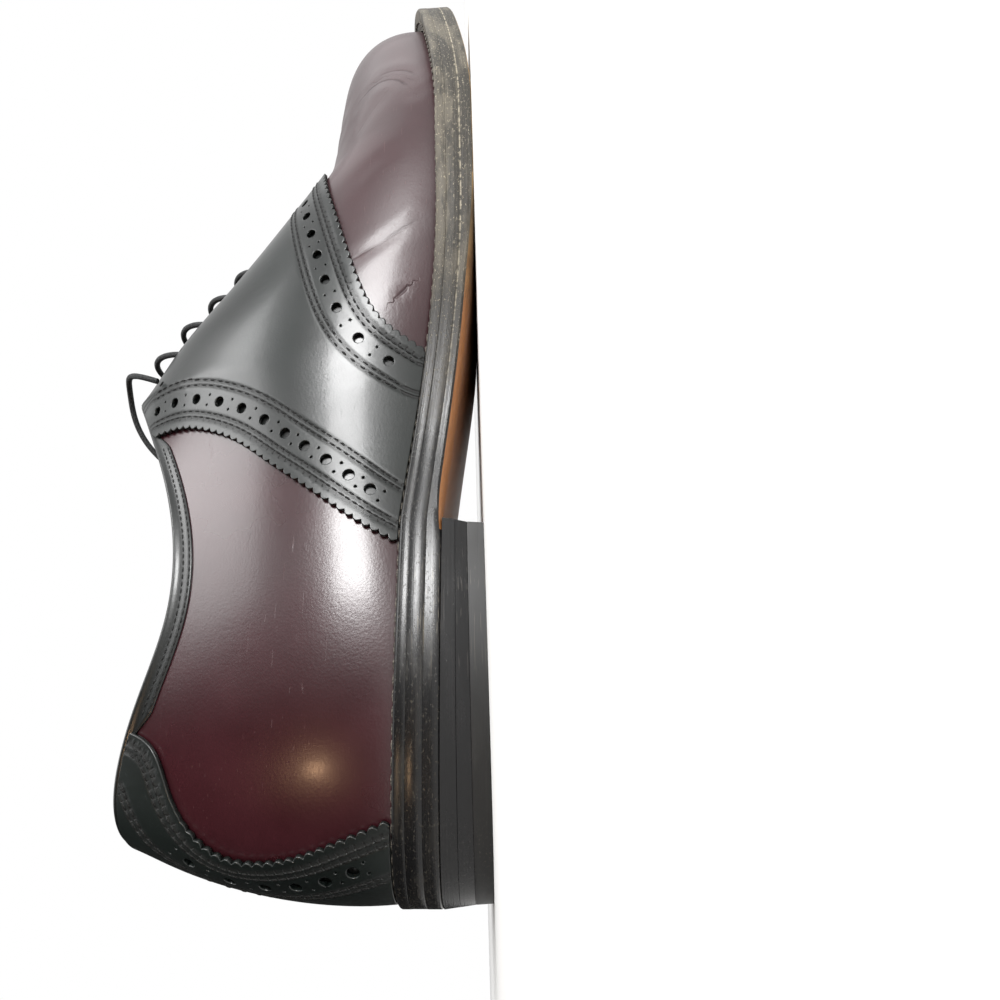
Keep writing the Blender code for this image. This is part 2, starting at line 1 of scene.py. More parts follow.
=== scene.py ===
# %% [markdown]
# A welted saddle shoe for the right foot, dressed round its packed construction.
#
# The construction gives the true form of the last, the sole and every overlay. This script makes
# the surfaces: leather with creases, pinked edges with punched holes, stitches, laces and the worn
# edge of the sole. It starts by loading the construction.

# %% Load the frame
import math

import bmesh
import bpy
import numpy as np
from mathutils import Matrix, Vector
from mathutils.kdtree import KDTree


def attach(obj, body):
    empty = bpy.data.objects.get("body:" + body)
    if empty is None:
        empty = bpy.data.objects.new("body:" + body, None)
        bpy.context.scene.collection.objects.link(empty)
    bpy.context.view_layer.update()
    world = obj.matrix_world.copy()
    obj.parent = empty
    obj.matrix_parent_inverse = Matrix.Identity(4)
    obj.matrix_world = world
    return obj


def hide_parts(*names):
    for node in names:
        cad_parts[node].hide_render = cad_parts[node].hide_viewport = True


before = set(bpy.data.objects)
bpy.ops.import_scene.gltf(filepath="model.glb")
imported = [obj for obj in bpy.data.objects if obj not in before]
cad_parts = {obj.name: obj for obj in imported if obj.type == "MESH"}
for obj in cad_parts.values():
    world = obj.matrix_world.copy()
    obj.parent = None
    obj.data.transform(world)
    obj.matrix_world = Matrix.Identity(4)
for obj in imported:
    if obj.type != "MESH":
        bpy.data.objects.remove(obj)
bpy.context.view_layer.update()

print("Nodes:", ", ".join(sorted(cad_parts)))

# %% [markdown]
# The photograph looks at the outer side from close by, with the toe at the top of the picture.
# So the camera is rolled: the picture's up is the shoe's forward. It stands just above the floor,
# a hand's length from the leather, and a wide lens takes in the whole shoe. The small shift keeps
# the picture's framing without turning the camera down into the floor.

# %% Camera
CAMERA_PLACE = Vector((-0.1165, -0.1797, 0.0020))
CAMERA_LOOK = Vector((0.3399, 0.9395, 0.0431))
PICTURE_UP = Vector((0.9404, -0.3391, -0.0264))
CAMERA_LENS = 22.3
CAMERA_SHIFT = (0.0512, 0.0149)


def make_camera():
    camera = bpy.data.objects.new("Camera", bpy.data.cameras.new("Camera"))
    bpy.context.scene.collection.objects.link(camera)
    back = -CAMERA_LOOK.normalized()
    right = PICTURE_UP.cross(back).normalized()
    axes = Matrix((right, back.cross(right), back)).transposed()
    camera.matrix_world = Matrix.Translation(CAMERA_PLACE) @ axes.to_4x4()
    camera.data.lens = CAMERA_LENS
    camera.data.sensor_width = 36
    camera.data.shift_x, camera.data.shift_y = CAMERA_SHIFT
    camera.data.clip_start = 0.0005
    bpy.context.scene.camera = camera
    return camera


camera = make_camera()
print("Camera at", [round(value, 4) for value in camera.location])

# %% [markdown]
# A shoemaker starts from a last, the solid foot that leather is pulled over. Here the last is two
# functions. The sole's edge is a curve through a table of widths. The skin is a family of curved
# sections: `turn` goes round the shoe from the heel over the outer side to the toe and back, and
# `up` goes from the sole to the top line. All tables hold shares of the named sizes, so that the
# pattern pieces below can be drawn on the last and cut where the real ones are cut.

# %% Sizes of the shoe, in metres
SOLE_LENGTH = 0.312
BALL_WIDTH = 0.1035
BALL_HALF = BALL_WIDTH / 2
HEEL_LENGTH = 0.092
HEEL_HEIGHT = 0.0105
SEAT_RISE = 0.0015
TOE_SPRING = 0.0115
SPRING_CURVE = 1.4
TREAD_START = 0.190
TREAD_END = 0.218
INSTEP_HEIGHT = 0.105
BALL_HEIGHT = 0.0518
HEEL_WELT_REACH = 0.0030
TOE_WELT_REACH = 0.0068
WELT_WIDENS = (0.35, 0.75)
TOP_FOLLOWS = 0.6
OUTSOLE = 0.0036
MIDSOLE = 0.0036
WELT = 0.0029
TOP_LIFT = 0.0040
UPPER_WALL = 0.0018
OVERLAY = 0.0013
TONGUE = 0.0022
INSOLE = 0.0030
LACE = 0.0018
GAP = 0.0003

# %% Tables of the last, as shares
SOLE_ROWS = (
    # along, half width, centre
    (0.000, 0.000, 0.000), (0.016, 0.338, 0.000), (0.050, 0.515, -0.004), (0.100, 0.613, -0.008),
    (0.160, 0.652, -0.015), (0.224, 0.640, -0.026), (0.295, 0.598, -0.037), (0.370, 0.570, -0.038),
    (0.433, 0.602, -0.037), (0.500, 0.697, -0.035), (0.565, 0.823, -0.032), (0.630, 0.936, -0.025),
    (0.695, 0.992, -0.011), (0.753, 0.984, 0.006), (0.815, 0.917, 0.027), (0.872, 0.828, 0.048),
    (0.923, 0.684, 0.066), (0.962, 0.508, 0.077), (0.987, 0.308, 0.083), (1.000, 0.000, 0.085),
)
CORNER = 0.445
THROAT = 0.690
TOP_ROWS = (
    # at, along, half, lean, low, high, drop, rise
    (0.000, 0.0449, 0.000, 0.0096, 0.330, 0.74, 0.25, 0.000),
    (0.020, 0.0487, 0.145, 0.0096, 0.330, 0.74, 0.25, 0.000),
    (0.050, 0.0593, 0.270, 0.0096, 0.330, 0.74, 0.26, 0.002),
    (0.100, 0.0962, 0.402, 0.0103, 0.330, 0.74, 0.28, 0.008),
    (0.160, 0.1571, 0.479, 0.0115, 0.330, 0.76, 0.30, 0.022),
    (0.220, 0.2196, 0.506, 0.0144, 0.340, 0.78, 0.30, 0.033),
    (0.300, 0.3013, 0.473, 0.0224, 0.350, 0.82, 0.28, 0.028),
    (0.370, 0.3718, 0.377, 0.0321, 0.360, 0.86, 0.24, 0.012),
    (0.410, 0.4103, 0.292, 0.0369, 0.360, 0.88, 0.21, 0.004),
    (CORNER, 0.4455, 0.213, 0.0385, 0.355, 0.88, 0.18, 0.000),
    (0.500, 0.5000, 0.170, 0.0337, 0.370, 0.80, 0.12, 0.000),
    (0.555, 0.5545, 0.139, 0.0272, 0.390, 0.70, 0.08, 0.000),
    (0.610, 0.6090, 0.104, 0.0218, 0.450, 0.60, 0.05, 0.000),
    (0.655, 0.6538, 0.062, 0.0179, 0.500, 0.55, 0.02, 0.000),
    (THROAT, 0.6891, 0.000, 0.0160, 0.540, 0.53, 0.00, 0.000),
    (0.740, 0.7370, 0.000, 0.0135, 0.560, 0.54, 0.00, 0.000),
    (0.800, 0.7917, 0.000, 0.0103, 0.580, 0.57, 0.00, 0.000),
    (0.870, 0.8365, 0.000, 0.0090, 0.600, 0.62, 0.00, 0.000),
    (0.940, 0.8702, 0.000, 0.0080, 0.600, 0.68, 0.00, 0.000),
    (1.000, 0.8910, 0.000, 0.0080, 0.600, 0.73, 0.00, 0.000),
)
COLLAR_HEIGHTS = (
    # at, share of the instep height
    (0.000, 0.843), (0.020, 0.846), (0.050, 0.852), (0.100, 0.848), (0.160, 0.805),
    (0.220, 0.757), (0.300, 0.781), (0.370, 0.871), (0.410, 0.937), (CORNER, 1.000),
)
FRONT_HEIGHTS = (
    # at, share of the instep height, share of the ball height
    (CORNER, 1.000, 0.0), (0.500, 0.932, 0.0), (0.555, 0.818, 0.0), (0.610, 0.698, 0.0),
    (0.655, 0.320, 0.565), (THROAT, 0.050, 0.980), (0.740, 0.0, 1.003), (0.800, 0.0, 0.978),
    (0.870, 0.0, 0.965), (0.940, 0.0, 0.958), (1.000, 0.0, 0.950),
)


# %% Smooth curves through a table
def angle_of(share):
    """The place round half of the sole, from 0 at the heel to pi at the toe."""
    return np.arccos(np.clip(1 - 2 * np.asarray(share, float), -1, 1))


def spline(stations, values):
    """A natural cubic spline through the rows of a table, as a function."""
    at = np.asarray(stations, float)
    height = np.asarray(values, float)
    step = np.diff(at)
    slope = np.diff(height) / step
    count = len(at)
    matrix = np.eye(count)
    right = np.zeros(count)
    for row in range(1, count - 1):
        matrix[row, row - 1:row + 2] = step[row - 1], 2 * (step[row - 1] + step[row]), step[row]
        right[row] = 6 * (slope[row] - slope[row - 1])
    bend = np.linalg.solve(matrix, right)

    def value(place):
        place = np.clip(place, at[0], at[-1])
        span = np.clip(np.searchsorted(at, place) - 1, 0, count - 2)
        run = place - at[span]
        first = slope[span] - step[span] * (2 * bend[span] + bend[span + 1]) / 6
        third = (bend[span + 1] - bend[span]) / (6 * step[span])
        return height[span] + run * (first + run * (bend[span] / 2 + run * third))
    return value


def round_spline(shares, values, sign):
    """A spline that runs on over the heel and the toe as its own mirror image."""
    at = angle_of(shares)
    values = np.asarray(values, float)
    before = (-at[1:4][::-1], sign * values[1:4][::-1])
    after = (2 * math.pi - at[-4:-1][::-1], sign * values[-4:-1][::-1])
    if at[-1] < math.pi - 0.01:
        after = (at[:0], values[:0])
    if at[0] > 0.01:
        before = (at[:0], values[:0])
    return spline(np.concatenate([before[0], at, after[0]]),
                  np.concatenate([before[1], values, after[1]]))


def column(rows, number):
    return [row[number] for row in rows]


half_width = round_spline(column(SOLE_ROWS, 0), column(SOLE_ROWS, 1), -1)
centre_line = round_spline(column(SOLE_ROWS, 0), column(SOLE_ROWS, 2), 1)
open_rows = [row for row in TOP_ROWS if row[0] <= THROAT]
top_along = round_spline(column(TOP_ROWS, 0), column(TOP_ROWS, 1), 1)
top_half = round_spline(column(open_rows, 0), column(open_rows, 2), -1)
section_lean = round_spline(column(TOP_ROWS, 0), column(TOP_ROWS, 3), 1)
section_low = round_spline(column(TOP_ROWS, 0), column(TOP_ROWS, 4), 1)
section_high = round_spline(column(TOP_ROWS, 0), column(TOP_ROWS, 5), 1)
section_drop = round_spline(column(TOP_ROWS, 0), column(TOP_ROWS, 6), 1)
inner_rise = round_spline(column(TOP_ROWS, 0), column(TOP_ROWS, 7), 1)
collar_height = round_spline(column(COLLAR_HEIGHTS, 0), column(COLLAR_HEIGHTS, 1), 1)
front_heights = [INSTEP_HEIGHT * row[1] + BALL_HEIGHT * row[2] for row in FRONT_HEIGHTS]
front_height = round_spline(column(FRONT_HEIGHTS, 0), front_heights, 1)


# %% The sole's edge
def ease(value):
    value = np.clip(value, 0, 1)
    return value * value * (3 - 2 * value)


def bell(distance, width):
    """1 on a line and fading to 0 beside it."""
    return np.exp(-(distance / width) ** 2)


def sole_bottom(x):
    """Height of the outsole's underside above the floor."""
    x = np.asarray(x, float)
    seat = HEEL_HEIGHT + SEAT_RISE * (1 - x / HEEL_LENGTH)
    waist = np.clip((x - HEEL_LENGTH) / (TREAD_START - HEEL_LENGTH), 0, 1)
    toe = np.clip((x - TREAD_END) / (SOLE_LENGTH - TREAD_END), 0, 1)
    arch = HEEL_HEIGHT * (1 - waist) ** 2 * (1 + waist)
    return np.where(x < HEEL_LENGTH, seat, arch + TOE_SPRING * toe ** SPRING_CURVE)


def sole_edge(turn):
    turn = np.mod(np.asarray(turn, float), 2 * math.pi)
    angle = math.pi - np.abs(math.pi - turn)
    side = np.where(turn <= math.pi, -1.0, 1.0)
    x = SOLE_LENGTH * (1 - np.cos(angle)) / 2
    y = BALL_HALF * (centre_line(angle) + side * half_width(angle))
    return np.stack([x, y], -1)


def outward(turn):
    small = 1e-3
    tangent = sole_edge(turn + small) - sole_edge(turn - small)
    tangent /= np.linalg.norm(tangent, axis=-1, keepdims=True)
    return np.stack([tangent[..., 1], -tangent[..., 0]], -1)


def welt_reach(turn):
    x = sole_edge(turn)[..., 0] / SOLE_LENGTH
    start, end = WELT_WIDENS
    return HEEL_WELT_REACH + (TOE_WELT_REACH - HEEL_WELT_REACH) * ease((x - start) / (end - start))


def inset_edge(turn, inset):
    turn = np.asarray(turn, float)
    inset = np.broadcast_to(inset, turn.shape)
    return sole_edge(turn) - outward(turn) * inset[..., None]


# %% The skin of the last
def skin(turn, up):
    """A point of the last's skin; up runs from 0 at the sole to 1 at the top line."""
    turn, up = np.broadcast_arrays(np.mod(np.asarray(turn, float), 2 * math.pi), np.asarray(up, float))
    angle = math.pi - np.abs(math.pi - turn)
    side = np.where(turn <= math.pi, -1.0, 1.0)
    foot = inset_edge(turn, welt_reach(turn))
    base = sole_bottom(foot[..., 0]) + OUTSOLE + GAP + MIDSOLE + GAP
    x = SOLE_LENGTH * top_along(angle)
    closed = angle >= angle_of(THROAT) - 1e-6
    half = np.where(closed, 0.0, top_half(np.minimum(angle, angle_of(THROAT))))
    y = BALL_HALF * (centre_line(angle) * TOP_FOLLOWS + side * half)
    collar = INSTEP_HEIGHT * collar_height(np.minimum(angle, angle_of(CORNER)))
    front = front_height(np.maximum(angle, angle_of(CORNER)))
    z = np.where(angle <= angle_of(CORNER), collar, front)
    z = z + np.where(side > 0, INSTEP_HEIGHT * inner_rise(angle), 0.0)
    start = np.stack([foot[..., 0], foot[..., 1], base], -1)
    end = np.stack([x, y, z], -1)
    rise = (z - base)[..., None]
    across = (end - start) * (1, 1, 0)
    lean = outward(turn) * (SOLE_LENGTH * section_lean(angle))[..., None]
    lower = start + np.concatenate([lean, rise * section_low(angle)[..., None]], -1)
    drop = rise * section_drop(angle)[..., None]
    upper = end - across * section_high(angle)[..., None] - drop * (0, 0, 1)
    t = up[..., None]
    return (start * (1 - t) ** 3 + 3 * lower * t * (1 - t) ** 2
            + 3 * upper * t * t * (1 - t) + end * t ** 3)


def skin_normal(turn, up):
    small = 2e-3
    turn, up = np.broadcast_arrays(np.asarray(turn, float), np.asarray(up, float))
    low = np.clip(up - small, 0, 1)
    high = np.clip(up + small, 0, 1)
    normal = np.cross(skin(turn + small, up) - skin(turn - small, up), skin(turn, high) - skin(turn, low))
    normal /= np.linalg.norm(normal, axis=-1, keepdims=True)
    angle = math.pi - np.abs(math.pi - np.mod(turn, 2 * math.pi))
    ridge = (up > 1 - 1e-6) & (angle >= angle_of(THROAT) - 1e-6)
    flat = normal * (1, 0, 1)
    flat /= np.linalg.norm(flat, axis=-1, keepdims=True)
    return np.where(ridge[..., None], flat, normal)


def offset_skin(turn, up, out):
    out = np.asarray(out, float)[..., None]
    return skin(turn, up) + skin_normal(turn, up) * out


def middle_of_sole():
    """The middle of the sole's box on the floor, which the frame has as its origin."""
    edge = sole_edge(np.linspace(0, 2 * math.pi, 721))
    return np.array([*(edge.min(axis=0) + edge.max(axis=0)) / 2, 0.0])


ORIGIN = middle_of_sole()
print("Skin at the ball:", skin(angle_of(0.66), 0.5) - ORIGIN)

# %% [markdown]
# The lace's outer end is the one cord that lies free. It comes up out of the top eyelet, goes over
# the corner of the facing and hangs down inside the mouth. Its points are listed and are those of
# the construction, because the cord's solid lies there. A cord is a curve with a round bevel, read
# from a smooth line through the points, so that it bends as a waxed lace does.

# %% The free end of the lace
LACE_END_ROUTE = (
    (0.4595, -0.386, 0.935), (0.4655, -0.392, 0.990), (0.4750, -0.290, 1.055), (0.4740, -0.130, 1.093),
    (0.4580, -0.020, 1.104), (0.4370, 0.055, 1.083), (0.4150, 0.120, 1.028), (0.3960, 0.190, 0.950),
    (0.3780, 0.250, 0.868), (0.3640, 0.300, 0.780),
)
LACE_STRIDE = 0.0010
LACE_ROUNDS = 20


def path_length(points):
    """Distance along a line of points, at each point."""
    return np.concatenate([[0], np.cumsum(np.linalg.norm(np.diff(points, axis=0), axis=1))])


def smooth_path(points, stride):
    """A smooth line through a few points, with a point every stride."""
    points = np.asarray(points, float)
    length = path_length(points)
    at = np.linspace(0, length[-1], max(4, int(length[-1] / stride) + 1))
    return np.column_stack([spline(length, points[:, axis])(at) for axis in range(points.shape[1])])


def relaxed(points, rounds):
    """The same line with its kinks rounded off, its two ends held."""
    points = np.array(points)
    for _ in range(rounds):
        points[1:-1] = (points[:-2] + 2 * points[1:-1] + points[2:]) / 4
    return points


def cord_curve(name, points):
    """A round lace along a line. Blender grows a curve's box by the radius of its points, in metres,
    so the points carry the lace's true radius and the bevel is one."""
    curve = bpy.data.curves.new(name, "CURVE")
    curve.dimensions = "3D"
    curve.bevel_depth = 1.0
    curve.bevel_resolution = 4
    curve.use_fill_caps = True
    line = curve.splines.new("POLY")
    line.points.add(len(points) - 1)
    for point, place in zip(line.points, points):
        point.co = (*place, 1)
        point.radius = LACE / 2
    piece = bpy.data.objects.new(name, curve)
    bpy.context.scene.collection.objects.link(piece)
    return piece


route = np.array(LACE_END_ROUTE) * (SOLE_LENGTH, BALL_HALF, INSTEP_HEIGHT) - ORIGIN
end_points = relaxed(smooth_path(route, LACE_STRIDE), LACE_ROUNDS)
end_length = float(path_length(end_points)[-1])
lace_end = cord_curve("Lace_end", end_points)
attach(lace_end, "root")
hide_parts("lace_end")
print("The free lace end is", round(end_length * 1000, 1), "mm long")

# %% [markdown]
# The stage is a pale floor under a pale room. Leather is dark and glossy, so most of what the eye
# reads on it is the reflected room. A wide soft light ahead of the toe lifts the vamp, and a
# brighter window on the outer side puts the pale sheen on saddle and quarter. Two more soft lights
# hang overhead. The room is dim behind the heel, which leaves the quarter there deep red. A small
# warm lamp makes the round glow on the quarter.

# %% Floor, room and lights
def soft_light(name, place, aim, size, power, colour=(1.0, 1.0, 1.0)):
    """A square area light at a place, turned to face a point of the shoe."""
    lamp = bpy.data.lights.new(name, "AREA")
    lamp.shape = "RECTANGLE"
    lamp.size, lamp.size_y = size
    lamp.energy = power
    lamp.color = colour
    light = bpy.data.objects.new(name, lamp)
    bpy.context.scene.collection.objects.link(light)
    light.location = place
    facing = (Vector(aim) - Vector(place)).to_track_quat("-Z", "Y")
    light.rotation_euler = facing.to_euler()
    return light


def make_floor(size=1.1):
    bm = bmesh.new()
    bmesh.ops.create_grid(bm, x_segments=2, y_segments=2, size=size / 2)
    mesh = bpy.data.meshes.new("Floor")
    bm.to_mesh(mesh)
    bm.free()
    floor = bpy.data.objects.new("Floor", mesh)
    bpy.context.scene.collection.objects.link(floor)
    pale = bpy.data.materials.new("Pale_floor")
    pale.use_nodes = True
    pale.node_tree.nodes["Principled BSDF"].inputs["Base Color"].default_value = (0.92, 0.92, 0.91, 1)
    pale.node_tree.nodes["Principled BSDF"].inputs["Roughness"].default_value = 0.9
    mesh.materials.append(pale)
    return floor


def make_room(bright, dim):
    """A pale room that is bright ahead of the toe and dimmer behind the heel."""
    world = bpy.data.worlds.new("Pale_room")
    world.use_nodes = True
    tree = world.node_tree
    direction = tree.nodes.new("ShaderNodeTexCoord").outputs["Generated"]
    parts = tree.nodes.new("ShaderNodeSeparateXYZ")
    tree.links.new(direction, parts.inputs["Vector"])
    fall = tree.nodes.new("ShaderNodeMapRange")
    fall.interpolation_type = "SMOOTHSTEP"
    for name, value in (("From Min", -0.25), ("From Max", 0.60), ("To Min", dim), ("To Max", bright)):
        fall.inputs[name].default_value = value
    tree.links.new(parts.outputs["X"], fall.inputs["Value"])
    seen = tree.nodes.new("ShaderNodeLightPath").outputs["Is Camera Ray"]
    plain_share = tree.nodes.new("ShaderNodeMix")
    tree.links.new(seen, plain_share.inputs[0])
    tree.links.new(fall.outputs["Result"], plain_share.inputs[2])
    plain_share.inputs[3].default_value = 1.0
    background = tree.nodes["Background"]
    background.inputs["Color"].default_value = (1.0, 1.0, 1.0, 1)
    tree.links.new(plain_share.outputs[0], background.inputs["Strength"])
    bpy.context.scene.world = world


make_floor()
make_room(0.85, 0.03)
soft_light("Toe_softbox", (0.95, -0.18, 0.36), (0.05, 0.0, 0.04), (0.70, 0.55), 1.3)
soft_light("Window", (0.30, -1.02, 0.16), (-0.02, -0.03, 0.04), (0.24, 0.30), 10.2)
soft_light("Ceiling_softbox", (0.30, -0.52, 0.82), (-0.03, 0.0, 0.05), (0.55, 0.45), 6.0)
soft_light("Floor_softbox", (-0.10, 0.10, 1.10), (0.0, 0.0, 0.0), (0.90, 0.70), 3.5)
soft_light("Warm_lamp", (-0.36, -0.52, 0.22), (-0.11, -0.02, 0.05), (0.030, 0.030), 0.30, (1.0, 0.62, 0.34))
bpy.context.scene.view_settings.view_transform = "Standard"

# %% [markdown]
# Node groups hold the effects that several finishes share. A group has named inputs and outputs and
# puts out only masks and heights, while each finish keeps its own shader. A height is in metres, so
# that a furrow of a fifth of a millimetre is written as one.

# %% Helpers for nodes
def add_node(tree, kind, inputs=None, **settings):
    """A node with its settings made, and its inputs set to values or joined to sockets."""
    node = tree.nodes.new(kind)
    for name, value in settings.items():
        setattr(node, name, value)
    for key, value in (inputs or {}).items():
        socket = node.inputs[key]
        if isinstance(value, bpy.types.NodeSocket):
            tree.links.new(value, socket)
        else:
            socket.default_value = value
    return node


def calculate(tree, operation, *values, clamp=False):
    """One step of arithmetic on sockets and numbers."""
    node = add_node(tree, "ShaderNodeMath", dict(enumerate(values)), operation=operation, use_clamp=clamp)
    return node.outputs[0]


def between(tree, value, low, high, to_low=0.0, to_high=1.0):
    """A socket's value stretched from one range to another, with soft ends."""
    inputs = {"Value": value, "From Min": low, "From Max": high, "To Min": to_low, "To Max": to_high}
    return add_node(tree, "ShaderNodeMapRange", inputs, interpolation_type="SMOOTHSTEP").outputs["Result"]


def blend_colour(tree, share, first, second):
    node = add_node(tree, "ShaderNodeMix", data_type="RGBA")
    for index, value in ((0, share), (6, first), (7, second)):
        if isinstance(value, bpy.types.NodeSocket):
            tree.links.new(value, node.inputs[index])
        elif index == 0:
            node.inputs[index].default_value = value
        else:
            node.inputs[index].default_value = (*value, 1)
    return node.outputs[2]


def noise(tree, vector, scale, detail=3.0, roughness=0.5):
    inputs = {"Vector": vector, "Scale": scale, "Detail": detail, "Roughness": roughness}
    return add_node(tree, "ShaderNodeTexNoise", inputs).outputs["Fac"]


def stretched(tree, vector, scale=(1, 1, 1), turn=(0, 0, 0)):
    inputs = {"Vector": vector, "Scale": scale, "Rotation": [math.radians(angle) for angle in turn]}
    return add_node(tree, "ShaderNodeMapping", inputs).outputs["Vector"]


def new_group(name, inputs, outputs):
    """An empty group with its sockets, and the two nodes that stand for them."""
    group = bpy.data.node_groups.new(name, "ShaderNodeTree")
    for socket, kind, value in inputs:
        made = group.interface.new_socket(socket, in_out="INPUT", socket_type=kind)
        if value is not None:
            made.default_value = value
    for socket in outputs:
        group.interface.new_socket(socket, in_out="OUTPUT", socket_type="NodeSocketFloat")
    return group, group.nodes.new("NodeGroupInput"), group.nodes.new("NodeGroupOutput")


def use_group(tree, group, inputs=None):
    node = tree.nodes.new("ShaderNodeGroup")
    node.node_tree = group
    for key, value in (inputs or {}).items():
        if isinstance(value, bpy.types.NodeSocket):
            tree.links.new(value, node.inputs[key])
        else:
            node.inputs[key].default_value = value
    return node


FLOAT = "NodeSocketFloat"
VECTOR = "NodeSocketVector"


# %% Group for the grain of leather
def make_grain_group():
    """Fine pores between low pebbles, and the broader unevenness of a hide."""
    group, given, result = new_group(
        "Leather_grain", [("Scale", FLOAT, 1800.0), ("Depth", FLOAT, 0.00003)], ["Height", "Unevenness"])
    place = add_node(group, "ShaderNodeTexCoord").outputs["Object"]
    cells = add_node(group, "ShaderNodeTexVoronoi", {"Vector": place, "Scale": given.outputs["Scale"]})
    fine = noise(group, place, calculate(group, "MULTIPLY", given.outputs["Scale"], 0.6), 2.0)
    pebbles = calculate(group, "MULTIPLY_ADD", cells.outputs["Distance"], 0.6, fine)
    group.links.new(calculate(group, "MULTIPLY", pebbles, given.outputs["Depth"]), result.inputs["Height"])
    broad = noise(group, place, calculate(group, "MULTIPLY", given.outputs["Scale"], 0.02), 3.0)
    group.links.new(broad, result.inputs["Unevenness"])
    return group


GRAIN = make_grain_group()


# %% Group for thin scratches
def make_scratch_group():
    """Sparse straight scratches in two slants; Amount adds more of them."""
    group, given, result = new_group(
        "Thin_scratches", [("Vector", VECTOR, None), ("Amount", FLOAT, 0.3)], ["Mask"])
    low = calculate(group, "MULTIPLY_ADD", given.outputs["Amount"], -0.10, 0.76)
    high = calculate(group, "ADD", low, 0.05)
    masks = []
    for turn in ((0, 14, 9), (0, -22, -6)):
        vector = stretched(group, given.outputs["Vector"], (55, 2600, 2600), turn)
        lines = noise(group, vector, 1.0, 1.0, 0.5)
        masks.append(between(group, lines, low, high))
    patches = between(group, noise(group, given.outputs["Vector"], 24.0, 1.0), 0.48, 0.60)
    mask = calculate(group, "MULTIPLY", calculate(group, "MAXIMUM", *masks), patches)
    group.links.new(mask, result.inputs["Mask"])
    return group


SCRATCHES = make_scratch_group()


# %% Group for the furrow under a row of stitches
def make_furrow_group():
    """The leather sinks along a row of stitches and deeper at each needle hole."""
    inputs = [("Along", FLOAT, 0.0), ("Distance", FLOAT, 0.0), ("Place", FLOAT, 0.003),
              ("Width", FLOAT, 0.0006), ("Pitch", FLOAT, 0.0022)]
    group, given, result = new_group("Stitch_furrow", inputs, ["Furrow", "Pit"])
    off = calculate(group, "SUBTRACT", given.outputs["Distance"], given.outputs["Place"])
    share = calculate(group, "DIVIDE", off, given.outputs["Width"])
    furrow = calculate(group, "EXPONENT", calculate(group, "MULTIPLY", calculate(group, "POWER", calculate(
        group, "ABSOLUTE", share), 2.0), -1.0))
    group.links.new(furrow, result.inputs["Furrow"])
    turns = calculate(group, "DIVIDE", given.outputs["Along"], given.outputs["Pitch"])
    wave = calculate(group, "COSINE", calculate(group, "MULTIPLY", turns, 2 * math.pi))
    pit = calculate(group, "MULTIPLY", between(group, wave, 0.62, 0.95), between(group, furrow, 0.45, 0.85))
    group.links.new(pit, result.inputs["Pit"])
    return group


FURROW = make_furrow_group()


# %% Group for the scuffed edge of the sole
def make_edge_group():
    """Lines along the sole's edge, pale specks where the dressing has chipped, and worn patches."""
    group, given, result = new_group(
        "Sole_edge_wear", [("Vector", VECTOR, None), ("Amount", FLOAT, 0.5)], ["Lines", "Specks", "Wear"])
    lines = noise(group, stretched(group, given.outputs["Vector"], (12, 2600, 1)), 1.0, 3.0, 0.6)
    group.links.new(lines, result.inputs["Lines"])
    dots = noise(group, stretched(group, given.outputs["Vector"], (900, 1500, 1)), 1.0, 4.0, 0.7)
    low = calculate(group, "MULTIPLY_ADD", given.outputs["Amount"], -0.12, 0.68)
    specks = between(group, dots, low, calculate(group, "ADD", low, 0.06))
    group.links.new(specks, result.inputs["Specks"])
    wear = noise(group, stretched(group, given.outputs["Vector"], (45, 160, 1)), 1.0, 4.0, 0.6)
    group.links.new(between(group, wear, 0.42, 0.68), result.inputs["Wear"])
    return group


EDGE_WEAR = make_edge_group()
print("Groups:", [group.name for group in bpy.data.node_groups])

# %% [markdown]
# Calf leather is dyed, creamed and polished, so each finish has a deep base colour with a paler
# tone where the polish is thin, a fine grain in the bump and a thin coat of wax. The overlays carry
# rows of stitches. Each overlay stores for every point how far it lies along its cut edge and how
# far in from it, as an attribute named seam, and the finish draws its furrows from that: sunk in the
# bump and darkened in the colour as painted shade.

# %% Leather
STITCH_ROWS = (0.0030, 0.0046, 0.0126, 0.0142)
COUNTER_ROWS = (0.0026, 0.0042, 0.0115, 0.0130)
STITCH_PITCH = 0.0022
FURROW_WIDTH = 0.0006
FURROW_DEPTH = 0.00022
PIT_DEPTH = 0.00030
FOLD_WIDTH = 0.00045
FOLD_DEPTH = 0.00030
FOLD_WANDER = 0.0010
WRINKLE_DEPTH = 0.00009
DULL_SPAN = (-0.020, 0.030)


def new_finish(name, roughness, coat=0.0, coat_roughness=0.2, specular=0.5):
    finish = bpy.data.materials.new(name)
    finish.use_nodes = True
    shader = finish.node_tree.nodes["Principled BSDF"]
    shader.inputs["Roughness"].default_value = roughness
    shader.inputs["Specular IOR Level"].default_value = specular
    shader.inputs["Coat Weight"].default_value = coat
    shader.inputs["Coat Roughness"].default_value = coat_roughness
    return finish, finish.node_tree, shader


def bump_from(tree, shader, height):
    """Feed a height in metres to the shader's normal."""
    bump = add_node(tree, "ShaderNodeBump", {"Height": height, "Distance": 1.0, "Strength": 1.0})
    tree.links.new(bump.outputs["Normal"], shader.inputs["Normal"])


